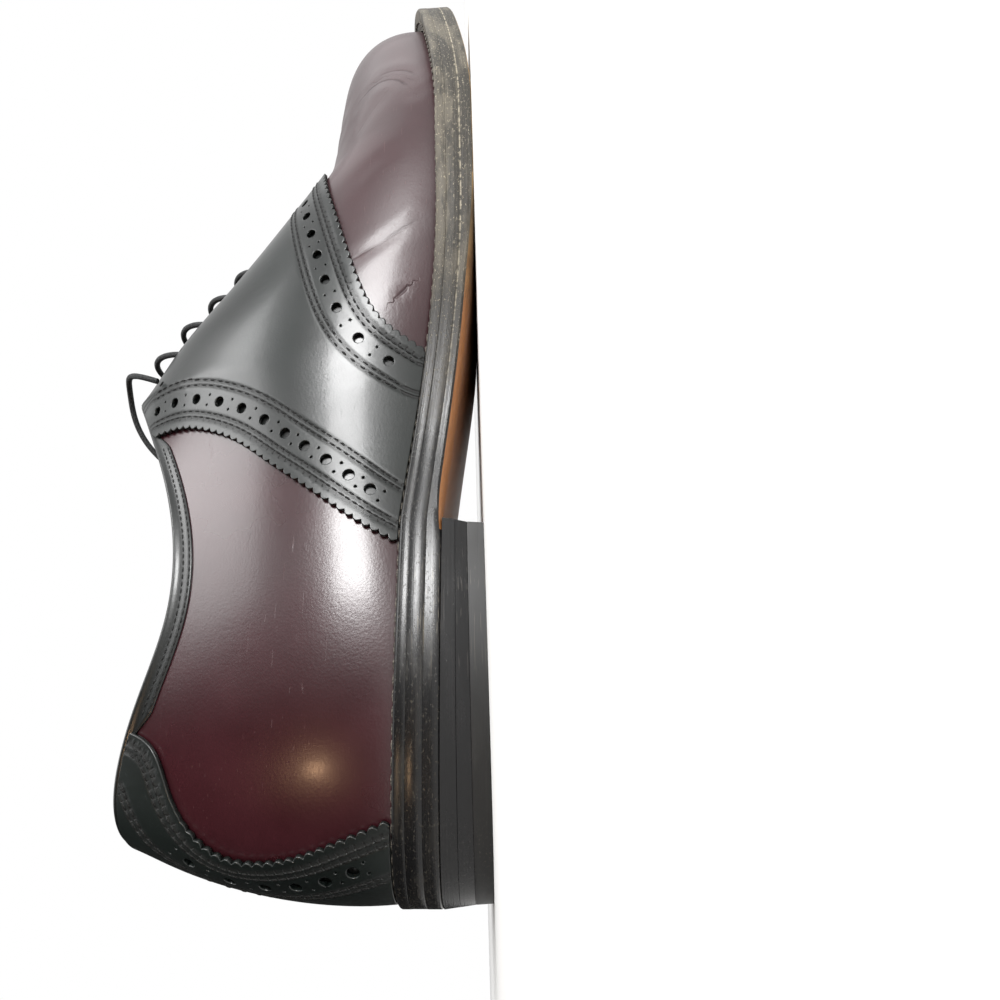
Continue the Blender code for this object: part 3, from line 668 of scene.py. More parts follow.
def seam_relief(tree, rows, width=FURROW_WIDTH, pitch=STITCH_PITCH):
    """Sums of the furrows and pits of all rows, read from the seam attribute."""
    seam = add_node(tree, "ShaderNodeAttribute", attribute_name="seam").outputs["Vector"]
    parts = add_node(tree, "ShaderNodeSeparateXYZ", {"Vector": seam})
    furrows = pits = 0.0
    for row in rows:
        inputs = {"Along": parts.outputs["X"], "Distance": parts.outputs["Y"], "Place": row,
                  "Width": width, "Pitch": pitch}
        group = use_group(tree, FURROW, inputs)
        furrows = calculate(tree, "ADD", furrows, group.outputs["Furrow"])
        pits = calculate(tree, "ADD", pits, group.outputs["Pit"])
    return furrows, pits


def fold_relief(tree, place):
    """Thin creases from the fold attribute's distance, and fine wrinkles in the area round them."""
    fold = add_node(tree, "ShaderNodeAttribute", attribute_name="fold").outputs["Vector"]
    parts = add_node(tree, "ShaderNodeSeparateXYZ", {"Vector": fold})
    wander = calculate(tree, "SUBTRACT", noise(tree, place, 160.0, 3.0), 0.5)
    path = calculate(tree, "MULTIPLY_ADD", wander, FOLD_WANDER, parts.outputs["X"])
    share = calculate(tree, "DIVIDE", path, FOLD_WIDTH)
    square = calculate(tree, "MULTIPLY", share, share)
    line = calculate(tree, "EXPONENT", calculate(tree, "MULTIPLY", square, -1.0))
    uneven = between(tree, noise(tree, place, 90.0, 2.0), 0.38, 0.62, 0.15, 1.0)
    creases = calculate(tree, "MULTIPLY", calculate(tree, "MULTIPLY", line, uneven), parts.outputs["Y"])
    rippled = noise(tree, stretched(tree, place, (260, 120, 620), (0, 35, 0)), 1.0, 3.0, 0.6)
    return creases, calculate(tree, "MULTIPLY", rippled, parts.outputs["Z"])


def calf(name, deep, pale, roughness, scratch_colour, grain=1700.0, grain_depth=0.000018, rows=(),
         folds=False):
    """Polished calf leather with an optional set of stitch rows."""
    finish, tree, shader = new_finish(name, roughness[0], coat=0.20, coat_roughness=0.16)
    place = add_node(tree, "ShaderNodeTexCoord").outputs["Object"]
    hide = use_group(tree, GRAIN, {"Scale": grain, "Depth": grain_depth})
    marks = use_group(tree, SCRATCHES, {"Vector": place, "Amount": 0.3})
    tone = between(tree, hide.outputs["Unevenness"], 0.30, 0.72)
    colour = blend_colour(tree, tone, deep, pale)
    scratched = calculate(tree, "MULTIPLY", marks.outputs["Mask"], 0.35)
    colour = blend_colour(tree, scratched, colour, scratch_colour)
    cloudy = noise(tree, place, 22.0, 4.0)
    shine = between(tree, cloudy, 0.3, 0.7, roughness[0], roughness[1])
    height = calculate(tree, "MULTIPLY_ADD", marks.outputs["Mask"], -0.00002, hide.outputs["Height"])
    if folds:
        creases, wrinkles = fold_relief(tree, place)
        ahead = add_node(tree, "ShaderNodeSeparateXYZ", {"Vector": place}).outputs["X"]
        dull = between(tree, ahead, DULL_SPAN[0], DULL_SPAN[1])
        shine = calculate(tree, "MULTIPLY_ADD", dull, 0.13, shine)
        height = calculate(tree, "MULTIPLY_ADD", creases, -FOLD_DEPTH, height)
        height = calculate(tree, "MULTIPLY_ADD", wrinkles, WRINKLE_DEPTH, height)
        # The thin creases are darkened towards black in the colour: painted shade in the crease lines.
        colour = blend_colour(tree, calculate(tree, "MULTIPLY", creases, 0.45), colour, (0.006, 0.002, 0.003))
        shine = calculate(tree, "MULTIPLY_ADD", creases, 0.20, shine)
    if rows:
        furrows, pits = seam_relief(tree, rows)
        height = calculate(tree, "MULTIPLY_ADD", furrows, -FURROW_DEPTH, height)
        height = calculate(tree, "MULTIPLY_ADD", pits, -PIT_DEPTH, height)
        # The furrows and needle pits are darkened towards black in the colour: painted shade in the recesses.
        painted_furrow_shade = calculate(tree, "MAXIMUM", calculate(tree, "MULTIPLY", furrows, 0.5), pits)
        colour = blend_colour(tree, calculate(tree, "MULTIPLY", painted_furrow_shade, 0.9, clamp=True), colour,
                              (0.0012, 0.0012, 0.0012))
        shine = calculate(tree, "MULTIPLY_ADD", furrows, 0.30, shine)
    tree.links.new(colour, shader.inputs["Base Color"])
    tree.links.new(shine, shader.inputs["Roughness"])
    bump_from(tree, shader, height)
    return finish


OXBLOOD = calf("Oxblood_calf", (0.024, 0.0042, 0.0062), (0.036, 0.0080, 0.0110), (0.25, 0.32),
               (0.12, 0.05, 0.05), folds=True)
BLACK_CALF = calf("Black_calf", (0.0030, 0.0046, 0.0042), (0.0058, 0.0090, 0.0080), (0.30, 0.42),
                  (0.05, 0.055, 0.055), rows=STITCH_ROWS)
COUNTER_CALF = calf("Counter_calf", (0.0030, 0.0046, 0.0042), (0.0058, 0.0090, 0.0080), (0.30, 0.42),
                    (0.05, 0.055, 0.055), rows=COUNTER_ROWS)
PLAIN_BLACK = calf("Plain_black_calf", (0.0040, 0.0050, 0.0048), (0.0075, 0.0090, 0.0086), (0.30, 0.38),
                   (0.05, 0.055, 0.055))
LINING = calf("Tan_lining", (0.34, 0.20, 0.10), (0.46, 0.30, 0.17), (0.50, 0.62), (0.25, 0.14, 0.07),
              grain=1200.0, grain_depth=0.00003)
print("Leathers made")


# %% Thread and lace
def thread(name, colour, pale):
    """Waxed thread with the fine slant of its twist."""
    finish, tree, shader = new_finish(name, 0.60, specular=0.25)
    place = add_node(tree, "ShaderNodeTexCoord").outputs["Object"]
    twist = add_node(tree, "ShaderNodeTexWave", {"Vector": place, "Scale": 900.0, "Distortion": 1.5},
                     bands_direction="DIAGONAL").outputs["Fac"]
    fuzz = noise(tree, place, 2500.0, 3.0)
    colour = blend_colour(tree, between(tree, fuzz, 0.35, 0.7), colour, pale)
    tree.links.new(colour, shader.inputs["Base Color"])
    bump_from(tree, shader, calculate(tree, "MULTIPLY", calculate(tree, "ADD", twist, fuzz), 0.00005))
    return finish


BLACK_THREAD = thread("Black_thread", (0.0030, 0.0032, 0.0032), (0.0100, 0.0105, 0.0100))
WELT_THREAD = thread("Welt_thread", (0.020, 0.018, 0.016), (0.20, 0.18, 0.15))
WAXED_LACE = thread("Waxed_lace", (0.010, 0.011, 0.012), (0.045, 0.047, 0.048))
lace_end.data.materials.append(WAXED_LACE)


# %% Sole leather and edge dressing
# The edge is dry ahead of the waist. A pale broken line marks the joint of outsole and midsole.
DRY_SPAN = (-0.055, 0.035)
JOINT_HEIGHT = OUTSOLE + GAP / 2
JOINT_WIDTH = 0.00022
CHIP_DEPTH = 0.00008


def edge_dressing(name, deep, pale, chip, roughness, amount, dryness=1.0):
    """Black dressed leather edge, scuffed to grey; the rim attribute follows the sole's edge."""
    finish, tree, shader = new_finish(name, roughness[0], coat=0.05, coat_roughness=0.3, specular=0.38)
    rim = add_node(tree, "ShaderNodeAttribute", attribute_name="rim").outputs["Vector"]
    place = add_node(tree, "ShaderNodeTexCoord").outputs["Object"]
    wear = use_group(tree, EDGE_WEAR, {"Vector": rim, "Amount": amount})
    side = add_node(tree, "ShaderNodeSeparateXYZ", {"Vector": place})
    dry = calculate(tree, "MULTIPLY", between(tree, side.outputs["X"], DRY_SPAN[0], DRY_SPAN[1]), dryness)
    streaks = between(tree, wear.outputs["Lines"], 0.35, 0.7)
    streaks = calculate(tree, "MULTIPLY", streaks, wear.outputs["Wear"])
    patchy = calculate(tree, "MULTIPLY", dry, between(tree, wear.outputs["Wear"], 0.0, 1.0, 0.30, 1.0))
    tone = calculate(tree, "ADD", calculate(tree, "MULTIPLY", streaks, 0.18), patchy, clamp=True)
    colour = blend_colour(tree, tone, deep, pale)
    chips = calculate(tree, "MULTIPLY", wear.outputs["Specks"], calculate(
        tree, "MULTIPLY_ADD", dry, 0.85, 0.08))
    rim_parts = add_node(tree, "ShaderNodeSeparateXYZ", {"Vector": rim})
    joint = calculate(tree, "SUBTRACT", rim_parts.outputs["Y"], JOINT_HEIGHT)
    joint = calculate(tree, "DIVIDE", joint, JOINT_WIDTH)
    square = calculate(tree, "MULTIPLY", joint, joint)
    joint = calculate(tree, "EXPONENT", calculate(tree, "MULTIPLY", square, -1.0))
    broken = between(tree, noise(tree, stretched(tree, rim, (500, 1, 1)), 1.0, 3.0), 0.42, 0.55)
    pale_joint = calculate(tree, "MULTIPLY", calculate(tree, "MULTIPLY", joint, broken), dry)
    chips = calculate(tree, "MAXIMUM", chips, pale_joint)
    colour = blend_colour(tree, calculate(tree, "MULTIPLY", chips, 0.8), colour, chip)
    marks = use_group(tree, SCRATCHES, {"Vector": place, "Amount": 0.9})
    colour = blend_colour(tree, calculate(tree, "MULTIPLY", marks.outputs["Mask"], 0.2), colour, chip)
    dull = calculate(tree, "MULTIPLY_ADD", wear.outputs["Wear"], 0.35, dry, clamp=True)
    shine = between(tree, dull, 0.0, 1.0, roughness[0], roughness[1])
    rough_lines = calculate(tree, "MULTIPLY", wear.outputs["Lines"], calculate(
        tree, "MULTIPLY_ADD", dry, 0.00026, 0.00002))
    height = calculate(tree, "MULTIPLY_ADD", chips, -CHIP_DEPTH, rough_lines)
    tree.links.new(colour, shader.inputs["Base Color"])
    tree.links.new(shine, shader.inputs["Roughness"])
    bump_from(tree, shader, height)
    return finish


def sole_leather():
    """Tan leather, worn paler and dirtier at the tread, burnished orange brown in the waist."""
    finish, tree, shader = new_finish("Sole_leather", 0.6)
    place = add_node(tree, "ShaderNodeTexCoord").outputs["Object"]
    parts = add_node(tree, "ShaderNodeSeparateXYZ", {"Vector": place})
    x = calculate(tree, "ADD", parts.outputs["X"], float(ORIGIN[0]))
    wavy = calculate(tree, "MULTIPLY_ADD", noise(tree, place, 30.0), 0.03, x)
    waist = between(tree, wavy, TREAD_START - 0.030, TREAD_START + 0.006, 1.0, 0.0)
    worn = noise(tree, place, 38.0, 5.0, 0.62)
    tread = blend_colour(tree, between(tree, worn, 0.38, 0.62), (0.095, 0.060, 0.026), (0.36, 0.235, 0.10))
    fibres = noise(tree, stretched(tree, place, (40, 160, 40)), 8.0, 4.0, 0.7)
    burnish = blend_colour(tree, fibres, (0.16, 0.060, 0.020), (0.40, 0.17, 0.055))
    colour = blend_colour(tree, waist, tread, burnish)
    marks = use_group(tree, SCRATCHES, {"Vector": place, "Amount": 1.2})
    scratched = calculate(tree, "MULTIPLY", marks.outputs["Mask"], 0.6)
    colour = blend_colour(tree, scratched, colour, (0.05, 0.035, 0.02))
    grit = noise(tree, place, 900.0, 4.0, 0.7)
    height = calculate(tree, "MULTIPLY", calculate(tree, "ADD", grit, worn), 0.00012)
    tree.links.new(colour, shader.inputs["Base Color"])
    tree.links.new(between(tree, waist, 0.0, 1.0, 0.72, 0.38), shader.inputs["Roughness"])
    bump_from(tree, shader, height)
    return finish


EDGE_BLACK = edge_dressing("Edge_dressing", (0.0060, 0.0060, 0.0064), (0.110, 0.097, 0.074),
                           (0.46, 0.41, 0.31), (0.24, 0.58), 0.85)
HEEL_BLACK = edge_dressing("Heel_dressing", (0.0055, 0.0055, 0.0060), (0.030, 0.030, 0.031),
                           (0.20, 0.19, 0.17), (0.24, 0.42), 0.20, 0.0)
RUBBER = edge_dressing("Rubber_top_lift", (0.010, 0.0098, 0.0095), (0.040, 0.038, 0.035), (0.20, 0.17, 0.13),
                       (0.38, 0.60), 0.35, 0.0)
SOLE_LEATHER = sole_leather()
print("Finishes:", [finish.name for finish in bpy.data.materials if finish.users])

# %% [markdown]
# Every mesh piece ends the same way: its normals are made to face out, it is moved from the last's
# own place to the frame's origin, it takes its finishes and, for some, an attribute, it is hung on
# the body it rides on, and any solids of the construction that it stands for are hidden.

# %% Finish a piece
def set_places(verts, places):
    for vert, place in zip(verts, places):
        vert.co = place


def flat_places(verts):
    return np.array([vert.co[:] for vert in verts])


def finish_piece(name, bm, finishes, replaces=(), attribute=None, trimmed=False):
    """Make a mesh piece of a bmesh that holds places on the last."""
    bmesh.ops.translate(bm, vec=Vector(-ORIGIN), verts=bm.verts)
    bmesh.ops.recalc_face_normals(bm, faces=bm.faces)
    mesh = bpy.data.meshes.new(name)
    bm.to_mesh(mesh)
    bm.free()
    mesh.shade_smooth()
    if trimmed:
        mesh.set_sharp_from_angle(angle=math.radians(30))
    for finish in finishes:
        mesh.materials.append(finish)
    if attribute is not None:
        title, values = attribute
        layer = mesh.attributes.new(title, "FLOAT_VECTOR", "POINT")
        layer.data.foreach_set("vector", np.asarray(values, np.float32).ravel())
    piece = bpy.data.objects.new(name, mesh)
    bpy.context.scene.collection.objects.link(piece)
    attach(piece, "root")
    if replaces:
        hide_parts(*replaces)
    print(name, "has", sum(len(face.vertices) - 2 for face in mesh.polygons), "triangles")
    return piece

# %% [markdown]
# The sole is made like the real one: an outsole of bend leather, a midsole, and a welt that the
# upper is sewn to. Each layer is a sheet for its underside, a wall of rings round its edge and a
# sheet for its top, all grids that are welded where they meet. Extra rings near the corners round
# the trimmed edge, and in the waist the wall leans in as the edge is bevelled there.

# %% Sheets and layers
SIDE_COLUMNS = 170
ACROSS_COLUMNS = 24
WELD = 1e-6
EDGE_ROUNDING = 0.0006
WAIST_BEVEL = 0.0050
WAIST_BEVEL_HEIGHT = 0.0022
WAIST_SPAN = (0.27, 0.33, 0.50, 0.62)
MIDSOLE_STEP = 0.00004
CLOSED = GAP * 0.95
SOFT_CORNER = 0.00008
LAYER_BASES = {"midsole": OUTSOLE + GAP, "welt": OUTSOLE + GAP + MIDSOLE + GAP}


def add_sheet(bm, points):
    """A grid of faces whose corners are moved to the given rows of points."""
    rows, columns = points.shape[:2]
    made = bmesh.ops.create_grid(bm, x_segments=columns - 1, y_segments=rows - 1, size=1.0)["verts"]
    places = flat_places(made)
    across = np.rint((places[:, 0] + 1) / 2 * (columns - 1)).astype(int)
    along = np.rint((places[:, 1] + 1) / 2 * (rows - 1)).astype(int)
    set_places(made, points[along, across])
    return made


def side_angles(count=SIDE_COLUMNS):
    """Columns of one side at even lengths of the edge, with the corner and the throat among them."""
    fine = np.linspace(0, math.pi, 2000)
    length = path_length(sole_edge(fine))
    half = np.interp(np.linspace(0, length[-1], count + 1), length, fine)
    for place in (angle_of(CORNER), angle_of(THROAT)):
        half[np.argmin(np.abs(half - place))] = place
    return half


def all_round(half):
    return np.concatenate([half, (2 * math.pi - half[:-1])[::-1]])


def ring_points(turn, inset, lift):
    plan = inset_edge(turn, inset)
    height = sole_bottom(plan[..., 0]) + lift
    return np.column_stack([plan, height])


def across_points(half, inset, lift):
    """Rows straight across the sole, from the outer edge to the inner one."""
    outer = inset_edge(half, inset[:len(half)])
    inner = inset_edge(2 * math.pi - half, inset[:len(half)])
    share = np.linspace(0, 1, ACROSS_COLUMNS + 1)[None, :, None]
    plan = outer[:, None] * (1 - share) + inner[:, None] * share
    height = sole_bottom(plan[..., 0]) + lift
    return np.concatenate([plan, height[..., None]], -1)


def rim_place(places):
    """Along and height of points near the sole's edge; along is mirrored, so it has no seam."""
    turn = np.linspace(0, 2 * math.pi, 2400)
    edge = sole_edge(turn) - ORIGIN[:2]
    length = path_length(edge)
    length = np.minimum(length, length[-1] - length)
    tree = KDTree(len(edge))
    for index, point in enumerate(edge):
        tree.insert((*point, 0), index)
    tree.balance()
    nearest = np.array([tree.find((x, y, 0))[1] for x, y, _ in places])
    height = places[:, 2] - sole_bottom(places[:, 0] + ORIGIN[0])
    return np.column_stack([length[nearest], height, np.zeros(len(places))])


def waist_share(x):
    """1 in the waist and 0 under the ball and the heel."""
    start, full, fade, end = WAIST_SPAN
    share = x / SOLE_LENGTH
    return ease((share - start) / (full - start)) * (1 - ease((share - fade) / (end - fade)))


def build_layer(name, rings, finish, under=None):
    """A layer of the sole from rings of (inset, lift), lowest first; under is its lower face's finish."""
    half = side_angles()
    around = all_round(half)
    rings = [(np.broadcast_to(inset, around.shape), np.broadcast_to(lift, around.shape))
             for inset, lift in rings]
    bm = bmesh.new()
    add_sheet(bm, np.array([ring_points(around, inset, lift) for inset, lift in rings]))
    for inset, lift in (rings[0], rings[-1]):
        add_sheet(bm, across_points(half, inset, float(lift[0])))
    bmesh.ops.remove_doubles(bm, verts=bm.verts, dist=WELD)
    bmesh.ops.recalc_face_normals(bm, faces=bm.faces)
    if under is not None:
        for face in bm.faces:
            open_under = face.normal.z < -0.6 and face.calc_center_median().x > HEEL_LENGTH - 0.002
            face.material_index = 1 if open_under else 0
    places = flat_places(bm.verts) - ORIGIN
    finishes = [finish] if under is None else [finish, under]
    return finish_piece(name, bm, finishes, [name.lower()], ("rim", rim_place(places)), trimmed=True)


def make_outsole():
    around = all_round(side_angles())
    waist = waist_share(sole_edge(around)[:, 0])
    bevel = EDGE_ROUNDING + (WAIST_BEVEL - EDGE_ROUNDING) * waist
    rise = EDGE_ROUNDING + (WAIST_BEVEL_HEIGHT - EDGE_ROUNDING) * waist
    rings = ((bevel, 0.0), (bevel * 0.60, rise * 0.12), (bevel * 0.30, rise * 0.38),
             (bevel * 0.08, rise * 0.72), (0.0, rise), (0.0, (rise + OUTSOLE) / 2),
             (0.0, OUTSOLE + CLOSED - SOFT_CORNER), (SOFT_CORNER, OUTSOLE + CLOSED))
    return build_layer("Outsole", rings, EDGE_BLACK, SOLE_LEATHER)


def make_midsole():
    base = LAYER_BASES["midsole"]
    top = base + MIDSOLE + CLOSED
    soft = SOFT_CORNER
    rings = ((MIDSOLE_STEP + soft, base), (MIDSOLE_STEP + soft * 0.3, base + soft * 0.4),
             (MIDSOLE_STEP, base + soft), (MIDSOLE_STEP, base + MIDSOLE / 2), (MIDSOLE_STEP, top - soft),
             (MIDSOLE_STEP + soft * 0.3, top - soft * 0.4), (MIDSOLE_STEP + soft, top))
    return build_layer("Midsole", rings, EDGE_BLACK)


def make_insole():
    half = side_angles()
    inset = welt_reach(all_round(half)) + UPPER_WALL + GAP
    base = LAYER_BASES["welt"]
    return build_layer("Insole", ((inset, base), (inset, base + INSOLE)), LINING)


def welt_line(turn, clearance=GAP):
    """The share of the section's height where the skin is clear of the top of the welt."""
    wanted = skin(turn, 0.0)[..., 2] + WELT + clearance
    low = np.zeros_like(turn)
    high = np.full_like(turn, 0.5)
    for _ in range(24):
        middle = (low + high) / 2
        above = skin(turn, middle)[..., 2] > wanted
        high = np.where(above, middle, high)
        low = np.where(above, low, middle)
    return high


def make_welt():
    """The ring of leather that the upper is sewn to, with a groove where it meets the upper."""
    around = all_round(side_angles())
    base = LAYER_BASES["welt"]
    inner = offset_skin(around, welt_line(around), np.full_like(around, GAP))[:, :2]
    outer = inset_edge(around, 0.0)
    section = (
        # share from the outer edge to the upper, inset, lift
        (1.0, 0.0, 0.0), (0.0, 0.00008, 0.0), (0.0, 0.00002, 0.00003), (0.0, 0.0, 0.00010),
        (0.0, 0.0, 0.0022), (0.0, 0.0002, 0.0026), (0.0, 0.0006, WELT), (0.35, 0.0, WELT),
        (0.62, 0.0, WELT - 0.0001),
        (0.80, 0.0, WELT - 0.0006), (0.93, 0.0, WELT - 0.0009), (1.0, 0.0, WELT - 0.0007), (1.0, 0.0, 0.0),
    )
    rows = []
    for share, inset, lift in section:
        rim = inset_edge(around, inset) * (1 - share) + inner * share if share < 1 else inner
        rows.append(np.column_stack([rim, sole_bottom(rim[:, 0]) + base + lift]))
    bm = bmesh.new()
    add_sheet(bm, np.array(rows))
    bmesh.ops.remove_doubles(bm, verts=bm.verts, dist=WELD)
    places = flat_places(bm.verts) - ORIGIN
    print("Welt reaches", round(float(np.linalg.norm(outer - inner, axis=1).max()) * 1000, 1), "mm")
    return finish_piece("Welt", bm, [EDGE_BLACK], ["welt"], ("rim", rim_place(places)),
                        trimmed=True)


outsole = make_outsole()
midsole = make_midsole()
welt = make_welt()
make_insole()

# %% [markdown]
# The heel is a stack: two lifts of leather that wedge up to the seat and a rubber top lift that
# stands on the floor. Each is a flat sheet across the heel for its underside and one for its top,
# with a wall round the curved back and the straight breast. The edges are slightly rounded, which
# is what lets the eye count the layers.

# %% Heel
HEEL_TAPER = 0.0012
BREAST_CLEAR = 0.0040
LIFT_ROUNDING = 0.00007
HEEL_COLUMNS = 60


def heel_outline(inset):
    """Half outlines of the heel, from its back to the breast, on the outer and the inner side."""
    half = np.linspace(0, float(angle_of((HEEL_LENGTH - BREAST_CLEAR) / SOLE_LENGTH)), HEEL_COLUMNS)
    sides = []
    for turn in (half, 2 * math.pi - half):
        plan = inset_edge(turn, inset)
        corner = np.array([[HEEL_LENGTH - inset, plan[-1, 1]]])
        sides.append(np.concatenate([plan, corner]))
    return sides


def heel_sheet(inset, height):
    outer, inner = heel_outline(inset)
    share = np.linspace(0, 1, 9)[None, :, None]
    plan = outer[:, None] * (1 - share) + inner[:, None] * share
    return np.concatenate([plan, height(plan[..., 0])[..., None]], -1)


def heel_ring(inset, height):
    """Round the back from corner to corner, then straight along the breast."""
    outer, inner = heel_outline(inset)
    share = np.linspace(0, 1, 9)[1:, None]
    breast = outer[-1] * (1 - share) + inner[-1] * share
    plan = np.concatenate([inner[::-1], outer[1:], breast])
    return np.column_stack([plan, height(plan[:, 0])])


def make_lift(name, bottom, top, taper, finish):
    soft = LIFT_ROUNDING
    rings = ((taper[0] + soft, bottom), (taper[0], lambda x: bottom(x) + soft),
             (taper[1], lambda x: top(x) - soft), (taper[1] + soft, top))
    bm = bmesh.new()
    add_sheet(bm, np.array([heel_ring(inset, height) for inset, height in rings]))
    for inset, height in (rings[0], rings[-1]):
        add_sheet(bm, heel_sheet(inset, height))
    bmesh.ops.remove_doubles(bm, verts=bm.verts, dist=WELD)
    places = flat_places(bm.verts) - ORIGIN
    return finish_piece(name, bm, [finish], [name.lower()], ("rim", rim_place(places)), trimmed=True)


def make_heel():
    low = TOP_LIFT + GAP

    def level(share, drop=0.0):
        def height(x):
            seat = sole_bottom(np.minimum(x, HEEL_LENGTH - 1e-6)) - GAP
            return low + (seat - low) * share - drop
        return height
    steps = (HEEL_TAPER * 0.8, HEEL_TAPER * 0.4, 0.0)
    make_lift("Top_lift", lambda x: x * 0.0, lambda x: x * 0.0 + TOP_LIFT + CLOSED,
              (HEEL_TAPER, steps[0]), RUBBER)
    make_lift("Heel_lift_lower", level(0.0), level(0.5, GAP - CLOSED), (steps[0], steps[1]),
              HEEL_BLACK)
    make_lift("Heel_lift_upper", level(0.5), level(1.0, -CLOSED), (steps[1], steps[2]),
              HEEL_BLACK)


make_heel()

# %% [markdown]
# The upper is one hollow form. Calf creases where the ball of the foot bends it: long soft troughs
# that start above the welt and run up and over the vamp, each with a ridge of pushed-up leather
# beside it. Fine wrinkles cross the quarter. Each crease is a row of three places on the last, a
# depth and a width, and it moves the leather in by a soft trough and out by a lower shoulder.
# Solidify then gives the wall its true thickness, inwards, with the lining on the inner faces.

# %% Creases of the leather
CREASES = (
    # three places (at, up) on the side, thin crease's strength, soft trough's depth, its width, side
    ((0.794, 0.335), (0.781, 0.185), (0.759, 0.110), 1.0, 0.00022, 0.0022, -1),
    ((0.772, 0.465), (0.774, 0.270), (0.731, 0.130), 1.0, 0.00030, 0.0026, -1),
    ((0.706, 0.430), (0.725, 0.362), (0.741, 0.290), 0.3, 0.00014, 0.0028, -1),
    ((0.619, 0.330), (0.640, 0.275), (0.650, 0.200), 0.0, 0.00014, 0.0024, -1),
    ((0.541, 0.275), (0.557, 0.185), (0.574, 0.090), 0.5, 0.00010, 0.0020, -1),
    ((0.504, 0.125), (0.507, 0.117), (0.511, 0.105), 0.8, 0.00010, 0.0012, -1),
    ((0.812, 0.620), (0.806, 0.800), (0.804, 0.990), 0.5, 0.00020, 0.0030, -1),
    ((0.766, 0.640), (0.764, 0.800), (0.760, 0.990), 0.5, 0.00025, 0.0030, -1),
    ((0.804, 0.990), (0.800, 0.700), (0.784, 0.420), 0.7, 0.00025, 0.0028, 1),
    ((0.760, 0.990), (0.756, 0.700), (0.744, 0.380), 0.9, 0.00035, 0.0028, 1),
    ((0.700, 0.560), (0.704, 0.360), (0.694, 0.200), 0.9, 0.00022, 0.0028, 1),
    ((0.660, 0.420), (0.664, 0.300), (0.655, 0.180), 0.6, 0.00025, 0.0024, 1),
)
SHOULDER = 0.45
SHOULDER_OFF = 2.0
WRINKLE_REACH = 0.007
THIN_REACH = 0.0032
UPPER_COLUMNS = 270
UPPER_ROWS = 62


def distance_to_path(places, path, normal):
    """How far each place is from a line of points, below zero on one side of it."""
    best = np.full(len(places), np.inf)
    side = np.ones(len(places))
    for start, end in zip(path[:-1], path[1:]):
        run = end - start
        share = np.clip((places - start) @ run / (run @ run), 0, 1)
        gap = np.linalg.norm(places - start - share[:, None] * run, axis=1)
        nearer = gap < best
        best = np.where(nearer, gap, best)
        side = np.where(nearer, np.sign((places - start) @ np.cross(run, normal)), side)
    return best * side


def crease_line(first, middle, last, side):
    """A bent line on the skin through three places, with the skin's normal at its middle."""
    share = np.linspace(0, 1, 13)[:, None]
    control = 2 * np.array(middle) - (np.array(first) + np.array(last)) / 2
    spots = (1 - share) ** 2 * first + 2 * share * (1 - share) * control + share ** 2 * last
    angle = angle_of(spots[:, 0])
    turn = angle if side < 0 else 2 * math.pi - angle
    up = np.clip(spots[:, 1], 0, 1)
    return skin(turn, up), skin_normal(turn[6], up[6])


def crease_relief(turn, up):
    """The shift of the soft troughs at each place, and the fold attribute for the thin creases."""
    places = skin(turn, up)
    shift = np.zeros(len(places))
    nearest = np.full(len(places), 1.0)
    strength = np.zeros(len(places))
    area = np.zeros(len(places))
    for first, middle, last, thin, depth, width, side in CREASES:
        line, normal = crease_line(first, middle, last, side)
        gap = distance_to_path(places, line, normal)
        length = path_length(line)[-1]
        near_end = np.minimum(np.linalg.norm(places - line[0], axis=1),
                              np.linalg.norm(places - line[-1], axis=1))
        fade = ease((near_end + length * 0.05) / (length * 0.30))
        trough = bell(gap, width)
        shoulder = SHOULDER * bell(np.abs(gap) - SHOULDER_OFF * width, width * 1.1)
        shift += depth * (shoulder - trough) * fade
        nearer = np.abs(gap) < np.abs(nearest)
        nearest = np.where(nearer, gap, nearest)
        strength = np.where(nearer, thin * fade * bell(gap, THIN_REACH), strength)
        area = np.maximum(area, bell(gap, WRINKLE_REACH) * thin)
    return shift, np.column_stack([nearest, strength, area])


# %% Upper
def fold_values(places, rows, around, ups):
    """The fold attribute of each corner, found by its place among the rows of points."""
    values = np.array([crease_relief(around, up)[1] for up in ups]).reshape(-1, 3)
    points = rows.reshape(-1, 3)
    tree = KDTree(len(points))
    for index, point in enumerate(points):
        tree.insert(point, index)
    tree.balance()
    return values[[tree.find(place)[1] for place in places]]


def make_upper():
    """The hollow upper from the last's skin, with its wall inwards."""
    around = all_round(side_angles(UPPER_COLUMNS))
    start = welt_line(around)
    ups = [np.zeros_like(around)] + [start + (1 - start) * step for step in np.linspace(0, 1, UPPER_ROWS)]
    rows = []
    for up in ups:
        shift, _ = crease_relief(around, up)
        rows.append(offset_skin(around, up, shift))
    bm = bmesh.new()
    add_sheet(bm, np.array(rows))
    bmesh.ops.remove_doubles(bm, verts=bm.verts, dist=1e-5)
    folds = fold_values(flat_places(bm.verts), np.array(rows), around, np.array(ups))
    upper = finish_piece("Upper", bm, [OXBLOOD, LINING, PLAIN_BLACK, LINING], ["upper"],
                         ("fold", folds))
    wall = upper.modifiers.new("Wall", "SOLIDIFY")
    wall.thickness = UPPER_WALL
    wall.offset = -1
    wall.use_even_offset = False
    wall.material_offset = 1
    wall.material_offset_rim = 0
    return upper


upper = make_upper()

# %% [markdown]
# The tongue is a leaf of the same black calf under the facings. It is rounded over the instep, so
# the sheet has more columns than the construction and a soft crown between the facings.

# %% Tongue
TONGUE_CROWN = 0.12
TONGUE_PAST_THROAT = 0.2


